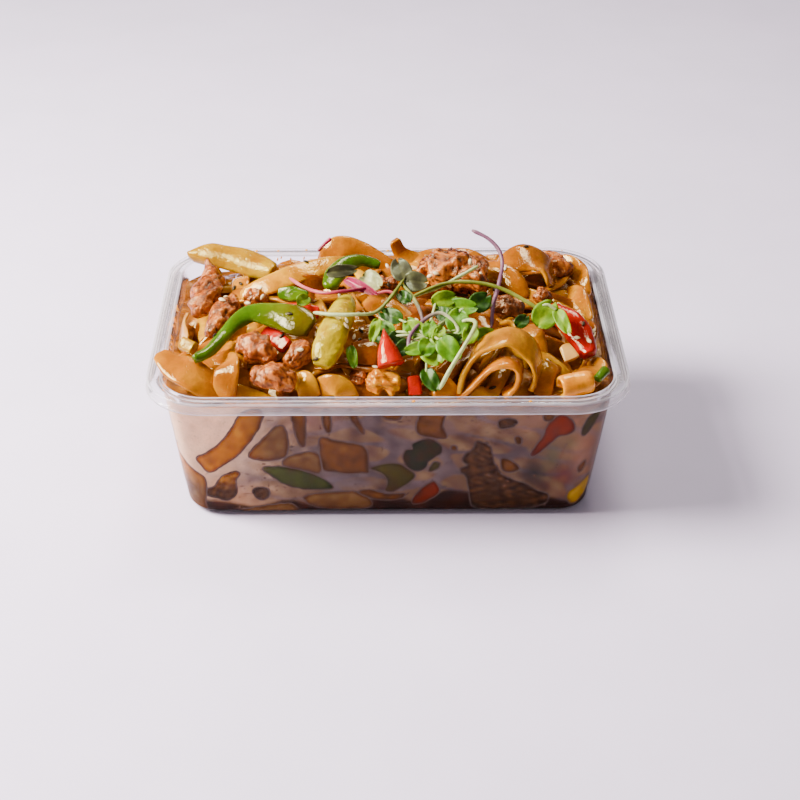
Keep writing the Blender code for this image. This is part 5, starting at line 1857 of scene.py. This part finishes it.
# Pieces drawn as strips: what they are, their route along the wall and their widths
SIDE_PATCHES = {
    "pressed_back_green": (Contact.GREEN, [(212, 34), (224, 26), (236, 22)], [3, 8, 3]),
    "pressed_back_beef": (Contact.BEEF, [(-232, 20), (-222, 25), (-210, 22)], [7, 11, 6]),
    "pressed_side_red": (Contact.RED, [(118, 34), (126, 28), (132, 20)], [4, 7, 4]),
    "pressed_side_beef": (Contact.BEEF, [(-118, 18), (-126, 24), (-136, 24)], [6, 9, 6]),
    "pressed_red_pepper": (Contact.RED, [(62, 19), (66, 23.5)], [4, 5]),
    "pressed_leaves": (Contact.LEAF, [(49, 25.5), (54, 24), (57, 20)], [5, 8, 5]),
}
# Those of them that lie behind the film, where the stains of STAINS_AND_PAINTED_LIGHT stand for them
DEEP_PATCHES = ("pressed_red_pepper", "pressed_leaves")
DEEP_PATCH_DEPTH = 0.6
PATCH_PATTERN_STEP = 5


@dataclass
class PressedFood:
    """Everything that shows through the clear wall."""

    loose_strips: int = 62
    loose_start: float = 92
    loose_end: float = 408
    wall_half: float = 250
    heights: tuple = (10, 24, 38)
    height_spread: float = 5
    lowest: float = 4
    highest: float = 47
    slant: float = 70
    lengths: Span = (12, 34)
    end_width: Span = (3, 9)
    middle_width: Span = (7, 13)

    def build(self) -> None:
        """Make each pressed piece in the place of its plain solid."""
        pattern = PATCH_PATTERNS
        for name, patches in FRONT_PATCHES.items():
            shapes = []
            for patch in patches:
                pattern += PATCH_PATTERN_STEP
                shapes.append(patch.shape(pattern))
            if name == "wall_noodles":
                make_piece(name, join(shapes), PRESSED_FINISH, patches[0].contact.slot)
            else:
                self.seen(name, join(shapes), patches[0].contact)
        for name, (contact, route, width) in SIDE_PATCHES.items():
            pattern += PATCH_PATTERN_STEP
            deep = name in DEEP_PATCHES
            depth = DEEP_PATCH_DEPTH if deep else PATCH_DEPTH
            patch = WallPatch(contact, ribbon_outline(route, width), depth, rimmed=not deep)
            self.seen(name, patch.shape(pattern), contact)
        make_piece("loose_wall_noodles", join(self.loose()), PRESSED_FINISH, "noodle")

    @staticmethod
    def seen(name: str, shape: Shape, contact: Contact) -> None:
        """Make what shows of a pressed piece, in the place of its plain solid."""
        finish = PRESSED_BEEF_FINISH if contact is Contact.BEEF else PRESSED_FINISH
        make_piece(f"{name}_seen", shape, finish, contact.slot, (name,))

    def loose(self) -> list[Shape]:
        """Press noodles on the back and the two short sides.

        Returns:
            The noodles.
        """
        rng = random.Random(SEED + 1)
        shapes = []
        for k in range(self.loose_strips):
            middle = self.loose_start + (self.loose_end - self.loose_start) * (k + 0.5) / self.loose_strips
            middle = middle if middle < self.wall_half else middle - 2 * self.wall_half
            z = rng.choice(self.heights) + rng.uniform(-self.height_spread, self.height_spread)
            slant = math.radians(rng.uniform(-self.slant, self.slant))
            length = rng.uniform(*self.lengths)
            step = np.array([math.cos(slant), 0.7 * math.sin(slant)]) * length / 2
            route = [np.array([middle, z]) + step * t for t in (-1, 0, 1)]
            if not all(self.lowest < p[1] < self.highest for p in route):
                continue
            width = [rng.uniform(*span) for span in (self.end_width, self.middle_width, self.end_width)]
            contact = rng.choice((Contact.NOODLE, Contact.TAN_NOODLE))
            depth = PATCH_DEPTH + 0.02 * (k % 4)
            patch = WallPatch(contact, ribbon_outline(route, width), depth)
            shapes.append(patch.shape(LOOSE_PATTERNS + PATCH_PATTERN_STEP * k))
        return shapes


TOPPING_SLOTS = {
    Tone.YELLOW: "yellow_pepper",
    Tone.GREEN: "green_pepper",
    Tone.RED: "red_pepper",
    Tone.ORANGE: "orange_pepper",
    Tone.ONION: "onion",
    Tone.STALK: "green_stalk",
    Tone.OMELETTE: "omelette",
    Tone.BEEF: "beef",
    Tone.BEEF_DARK_AND_SHADED: "beef",
}
TOPPING_FINISHES = {
    "yellow_pepper": YELLOW_FINISH,
    "onion": ONION_FINISH,
    "beef": BEEF_FINISH,
    "omelette": YELLOW_FINISH,
    "green_stalk": YELLOW_FINISH,
}


@dataclass
class Toppings:
    """The pepper, onion and beef pieces that lie on the noodles."""

    pieces: dict = field(default_factory=lambda: {**PEPPERS, **CHUNKS})
    pattern_step: int = 9

    def build(self) -> list[Shape]:
        """Make each topping in the place of its plain solid.

        Returns:
            The shapes of the toppings.
        """
        shapes = []
        for k, (name, piece) in enumerate(self.pieces.items()):
            shape = piece.shape(TOPPING_PATTERNS + self.pattern_step * k)
            slot = TOPPING_SLOTS[piece.tone]
            make_piece(f"{name}_piece", shape, TOPPING_FINISHES.get(slot, PEPPER_FINISH), slot, (name,))
            shapes.append(shape)
        return shapes


STEMS = (
    Stem([(-37, 3, 73.5), (-31, -7, 75), (-24, -14, 76.5), (-16, -14.5, 77.5), (-8, -11.5, 77)], 0.7,
        Tone.PINK_STEM, Tone.MAGENTA),
    Stem([(-27, -26, 75), (-20, -31, 77), (-12, -31, 77), (-5, -28, 76), (0, -20, 76.5), (6, -6.5, 78)], 0.7,
        Tone.WHITE_STEM, Tone.OLIVE_STEM),
    Stem([(5, -8, 77), (9, -16, 76), (12, -26, 74), (13, -36, 70)], 0.7, Tone.OLIVE_STEM, Tone.PURPLE_STEM),
    Stem([(38, -22, 66), (39, -14, 71), (41.5, -6, 76), (43, 1, 80), (42, 6, 83.5), (38, 10, 86.5),
        (32, 13, 88.5)], 0.75, Tone.PURPLE_STEM, Tone.PURPLE_STEM),
    Stem([(9, -16, 76), (19, -10, 76.5), (27, -4, 78), (34, 2, 79)], 0.65),
    Stem([(9, -16, 76), (21, -10, 78), (32, -9, 78), (43, -11, 76), (56, -17, 71)], 0.75, Tone.OLIVE_STEM),
    Stem([(24, -30, 72), (29, -32.5, 75.5), (31, -38, 76.5), (27, -45, 72.5), (22, -50, 66), (18, -53, 59)],
        0.75),
    Stem([(7, -42, 68), (8, -36, 71.5), (14, -30, 75), (20, -29, 76), (25, -35, 72), (16, -36, 70)], 0.7,
        Tone.PURPLE_STEM, Tone.WHITE_STEM),
    Stem([(39, -14, 71), (32, -16, 73), (24, -24, 72.5), (15, -35, 70.5)], 0.65),
    Stem([(55, -16.5, 71.3), (59, -15.5, 72), (62.2, -17, 70.6)], 0.65),
    Stem([(-4, -14.5, 76.5), (-0.5, -14.5, 77.3), (2.2, -15, 76.8)], 0.6, Tone.PINK_STEM),
)
LEAVES = (
    Leaf((-10, -10.5, 77), (1, -0.8, -0.1), 15, 4, Tone.MAGENTA, notch=0.0),
    Leaf((5, -3, 80), (-0.3, 0.9, 0.5), 11, 8, Tone.GREY_LEAF),
    Leaf((10.5, -8.4, 77.9), (1, -0.3, 0.1), 9, 8, Tone.GREY_LEAF),
    Leaf((27, -20, 73.6), (1, -0.3, 0.2), 12, 7),
    Leaf((34, -16, 73.6), (0.7, 0.7, 0.3), 10, 8, Tone.CRESS_DARK),
    Leaf((58, -19, 70), (0.5, 0.8, 0.4), 13, 10, Tone.CRESS_LIGHT),
    Leaf((64, -22, 68.5), (0.3, -0.9, -0.3), 13, 5, Tone.CRESS_LIGHT),
    Leaf((25, -31, 74), (0.2, 0.9, 0.5), 11, 9),
    Leaf((9, -33, 72), (-0.8, 0.3, 0.2), 8, 7, Tone.CRESS_LIGHT),
    Leaf((16, -43, 68), (0.4, -0.8, -0.3), 11, 10, Tone.CRESS_LIGHT),
    Leaf((9.5, -42, 69), (-0.9, -0.2, -0.1), 8, 5),
    Leaf((21.5, -44, 70), (0.6, -0.6, -0.4), 11, 8),
    Leaf((15, -49.5, 60.5), (0.5, -0.8, -0.5), 10, 6, Tone.CRESS_DARK),
    Leaf((1, -26, 73.5), (-0.8, 0.5, 0.1), 10, 6, Tone.CRESS_DARK),
    Leaf((18, -37, 72), (0.3, 0.7, 0.4), 8, 5, Tone.CRESS_LIGHT),
    Leaf((20.5, -18.7, 76), (1, 0.4, 0.2), 10, 7, Tone.CRESS_LIGHT),
    Leaf((48.9, -24, 70), (0.6, 0.6, 0.3), 7, 5, Tone.CRESS_DARK),
    Leaf((29.5, -35, 71.5), (0.3, 0.9, 0.6), 9, 6, Tone.CRESS_LIGHT),
    Leaf((8.1, -31.5, 72.5), (-0.4, 0.8, 0.4), 7, 6),
    Leaf((-0.9, -30.4, 71), (-0.7, 0.6, 0.2), 8, 5),
    Leaf((2.2, -35.5, 69), (-0.5, -0.7, 0.1), 9, 6, Tone.CRESS_DARK),
    Leaf((-3.6, -33, 69), (-0.9, 0.1, 0.1), 7, 5, Tone.CRESS_DARK),
    Leaf((5.4, -39, 67.6), (-0.6, -0.6, -0.2), 8, 6, Tone.CRESS_DARK),
    Leaf((14.8, -34.5, 72.8), (0.1, 0.9, 0.4), 8, 6),
    Leaf((22.5, -40, 71), (0.8, 0.1, 0.1), 8, 6, Tone.CRESS_DARK),
    Leaf((13.4, -42.5, 69.6), (-0.3, -0.8, -0.2), 8, 7),
    Leaf((34.5, -33, 69.8), (0.9, 0.2, 0.1), 8, 5),
    Leaf((6, -15.5, 75.4), (-0.6, 0.6, 0.2), 7, 5, Tone.CRESS_DARK),
    Leaf((20, -25, 73.5), (-0.5, 0.7, 0.2), 8, 6, Tone.CRESS_DARK),
)
SINGLE_LEAVES = {
    "sprout_leaf_grey": (Leaf((-17, 1, 77.5), (1, 0.1, 0.1), 12, 5, Tone.GREY_LEAF), "grey_leaf"),
    "sprout_leaf_pale": (Leaf((-6, -2, 74.5), (0.6, -0.7, 0.0), 11, 8, Tone.PALE_LEAF), "pale_leaf"),
    "sprout_leaf_light": (Leaf((-31.5, -10.5, 71.4), (0.5, 0.8, 0.0), 8, 5, Tone.CRESS_LIGHT), "cress"),
    "sprout_leaf_bright": (Leaf((-5, -34, 72), (-0.2, -0.8, -0.4), 10, 4, Tone.CRESS_LIGHT), "cress"),
    "sprout_leaf_small": (Leaf((-13, -40, 64.5), (0.2, -0.8, -0.5), 9, 4, Tone.CRESS), "cress"),
}
BACK_STEM = Stem([(-27, 31, 70.5), (-24.5, 32, 73), (-22, 33, 75)], 0.75, Tone.MAGENTA)


@dataclass
class Sprouts:
    """The knot of sprouts and the leaves that lie apart from it."""

    heart: tuple = (14.0, -36.0, 70.5)
    nearest: float = 7.0
    farthest: float = 18.0
    foot_share: float = 0.35
    stalk_radius: float = 0.5
    stalk_lift: float = 0.8

    def build(self) -> None:
        """Make the knot and the single leaves."""
        heart = np.array(self.heart)
        stems = [stem.shape(STEM_PATTERNS + k) for k, stem in enumerate(STEMS)]
        leaves = []
        for k, leaf in enumerate(LEAVES):
            leaves.append(leaf.shape(LEAF_PATTERNS + k))
            along = unit(np.asarray(leaf.along, float))
            foot = np.asarray(leaf.middle, float) - along * leaf.length * self.foot_share
            if self.nearest < np.linalg.norm(foot - heart) < self.farthest:
                stalk = Stem([foot, (foot + heart) / 2 + (0, 0, self.stalk_lift), heart], self.stalk_radius)
                stems.append(stalk.shape(LEAF_STALK_PATTERNS + k))
        make_piece("sprout_stems", join(stems), STEM_FINISH, "cress", ("cress",))
        make_piece("sprout_leaves", join(leaves), SPROUT_FINISH, "cress")
        for k, (name, (leaf, slot)) in enumerate(SINGLE_LEAVES.items()):
            make_piece(f"{name}_piece", leaf.shape(SINGLE_LEAF_PATTERNS + k), SPROUT_FINISH, slot, (name,))
        back = BACK_STEM.shape(BACK_STEM_PATTERN)
        make_piece("sprout_stem_back_piece", back, STEM_FINISH, "magenta_stem", ("sprout_stem_back",))


# Where seeds show in the photograph, in its pixels
BLACK_SEEDS = ((316, 359), (521, 360), (493, 388), (583, 324), (352, 286), (306, 262), (241, 284), (361, 331))
WHITE_SEEDS = ((359, 314), (354, 337), (500, 376), (589, 341), (340, 296), (346, 326), (449, 286), (577, 338),
               (262, 297), (300, 350), (470, 262), (222, 300), (594, 331), (505, 268), (430, 276), (248, 303))


@dataclass
class Sprinkles:
    """Sesame seeds on what the camera sees first at each place, and loose ones spread over the heap."""

    loose: int = 34
    reach_x: Span = (-70, 70)
    reach_y: Span = (-42, 46)
    drop_height: float = 110.0
    seed_size: Three = (2.9, 1.8, 1.1)
    seed_lift: float = 0.25
    seed_share: Span = (0.85, 1.0)

    def build(self, carriers: list[Shape]) -> None:
        """Drop the seeds on the food.

        Args:
            carriers: the shapes that seeds may lie on.
        """
        ground = join(carriers)
        tree = BVHTree.FromPolygons(ground.points.tolist(), ground.faces)
        place, forward, right, up = Studio.axes()
        rng = random.Random(SEED + 2)
        shapes = []
        for tone, pixels in ((Tone.BLACK_SEED, BLACK_SEEDS), (Tone.WHITE_SEED, WHITE_SEEDS)):
            for u, v in pixels:
                way = forward + (right * (u - IMAGE_SIZE / 2) - up * (v - IMAGE_SIZE / 2)) / CAMERA_FOCAL
                shapes += self.seed(tree, place, way, tone, rng)
        for _ in range(self.loose):
            start = np.array([rng.uniform(*self.reach_x), rng.uniform(*self.reach_y), self.drop_height])
            tone = rng.choice((Tone.BLACK_SEED, Tone.WHITE_SEED, Tone.WHITE_SEED))
            shapes += self.seed(tree, start, -np.array(UP), tone, rng)
        make_piece("sesame_seeds", join(shapes), SEED_FINISH, "noodle")

    def seed(self, tree: BVHTree, start: Array, way: Array, tone: Tone,
             rng: random.Random) -> list[Shape]:
        """Lay a seed where a ray meets the food.

        Args:
            tree: the food's surface.
            start: where the ray starts.
            way: the ray's direction.
            tone: the seed's colours.
            rng: the seeded source of chance.

        Returns:
            The seed, or nothing if the ray misses.
        """
        hit, normal, _, _ = tree.ray_cast(Vector(start), Vector(way))
        if hit is None:
            return []
        normal = np.array(normal)
        normal = normal if np.dot(normal, way) < 0 else -normal
        along = np.array([rng.uniform(-1, 1), rng.uniform(-1, 1), rng.uniform(-1, 1)])
        size = rng.uniform(*self.seed_share)
        length, width, height = self.seed_size
        seed = Seed((length * size, width * size, height))
        return [seed.shape(np.array(hit) + self.seed_lift * normal, along, normal, tone)]


@dataclass
class WallDrops:
    """Oil and sauce drops on the bare inside of the wall and on the rim, and small bubbles in the film."""

    drops: int = 60
    back_share: float = 0.6
    back_reach: Span = (190, 248)
    side_reach: Span = (80, 150)
    heights: Span = (53.2, 56.4)
    radii: Span = (0.3, 0.9)
    stretches: Span = (1.0, 1.8)
    rim_drops: int = 16
    rim_reach: Span = (-70, 74)
    rim_middle: float = 57.4
    rim_spread: float = 1.5
    rim_radii: Span = (0.3, 0.8)
    front_share: float = 0.05
    bubbles: int = 30
    bubble_radii: Span = (0.22, 0.5)
    bubble_reach: Span = (-60, 62)
    bubble_heights: Span = (2, 20)
    string_start: Span = (64.5, 34.5)
    string_run: Span = (5.0, 17.8)
    string_bubbles: int = 15

    def build(self) -> None:
        """Make the drops and the bubbles."""
        rng = random.Random(SEED + 3)
        shapes = []
        for _ in range(self.drops):
            if rng.random() < self.back_share:
                along = rng.choice((-1, 1)) * rng.uniform(*self.back_reach)
            else:
                along = -rng.uniform(*self.side_reach)
            z = rng.uniform(*self.heights)
            spot = on_wall(along, z, 0.0)
            inwards = on_wall(along, z, 1.0) - spot
            drop = Drop(rng.uniform(*self.radii), 0.3)
            shapes.append(drop.shape(spot, inwards, Tone.OIL, rng.uniform(*self.stretches)))
        for _ in range(self.rim_drops):
            x, front = rng.uniform(*self.rim_reach), rng.random() < self.front_share
            y = -self.rim_middle if front else self.rim_middle
            spot = np.array([x, y + rng.uniform(-self.rim_spread, self.rim_spread), BOX_HEIGHT])
            shapes.append(Drop(rng.uniform(*self.rim_radii), 0.25).shape(spot, np.array(UP), Tone.OIL, 1.2))
        make_piece("oil_drops", join(shapes), OIL_FINISH, "noodle")
        pearls = []
        (start, top), (leftwards, down) = self.string_start, self.string_run
        places = [(start - leftwards * t, top - down * t) for t in np.linspace(0, 1, self.string_bubbles)]
        places += [(rng.uniform(*self.bubble_reach), rng.uniform(*self.bubble_heights))
                   for _ in range(self.bubbles)]
        for along, z in places:
            spot = on_wall(along, z, PATCH_DEPTH)
            out = on_wall(along, z, PATCH_DEPTH - 1.0) - spot
            pearls.append(Drop(rng.uniform(*self.bubble_radii), 0.08).shape(spot, out, Tone.MENISCUS))
        make_piece("film_bubbles", join(pearls), OIL_FINISH, "noodle")


def main() -> None:
    """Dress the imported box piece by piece."""
    logging.basicConfig(level=logging.INFO, format="%(name)s: %(message)s")
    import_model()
    Studio().build()
    ClearBox().build()
    noodles = NoodleHeap().build()
    WallFilm().build()
    PressedFood().build()
    toppings = Toppings().build()
    Sprouts().build()
    Sprinkles().build([noodles] + toppings)
    WallDrops().build()
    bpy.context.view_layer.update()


if __name__ == "__main__":
    main()
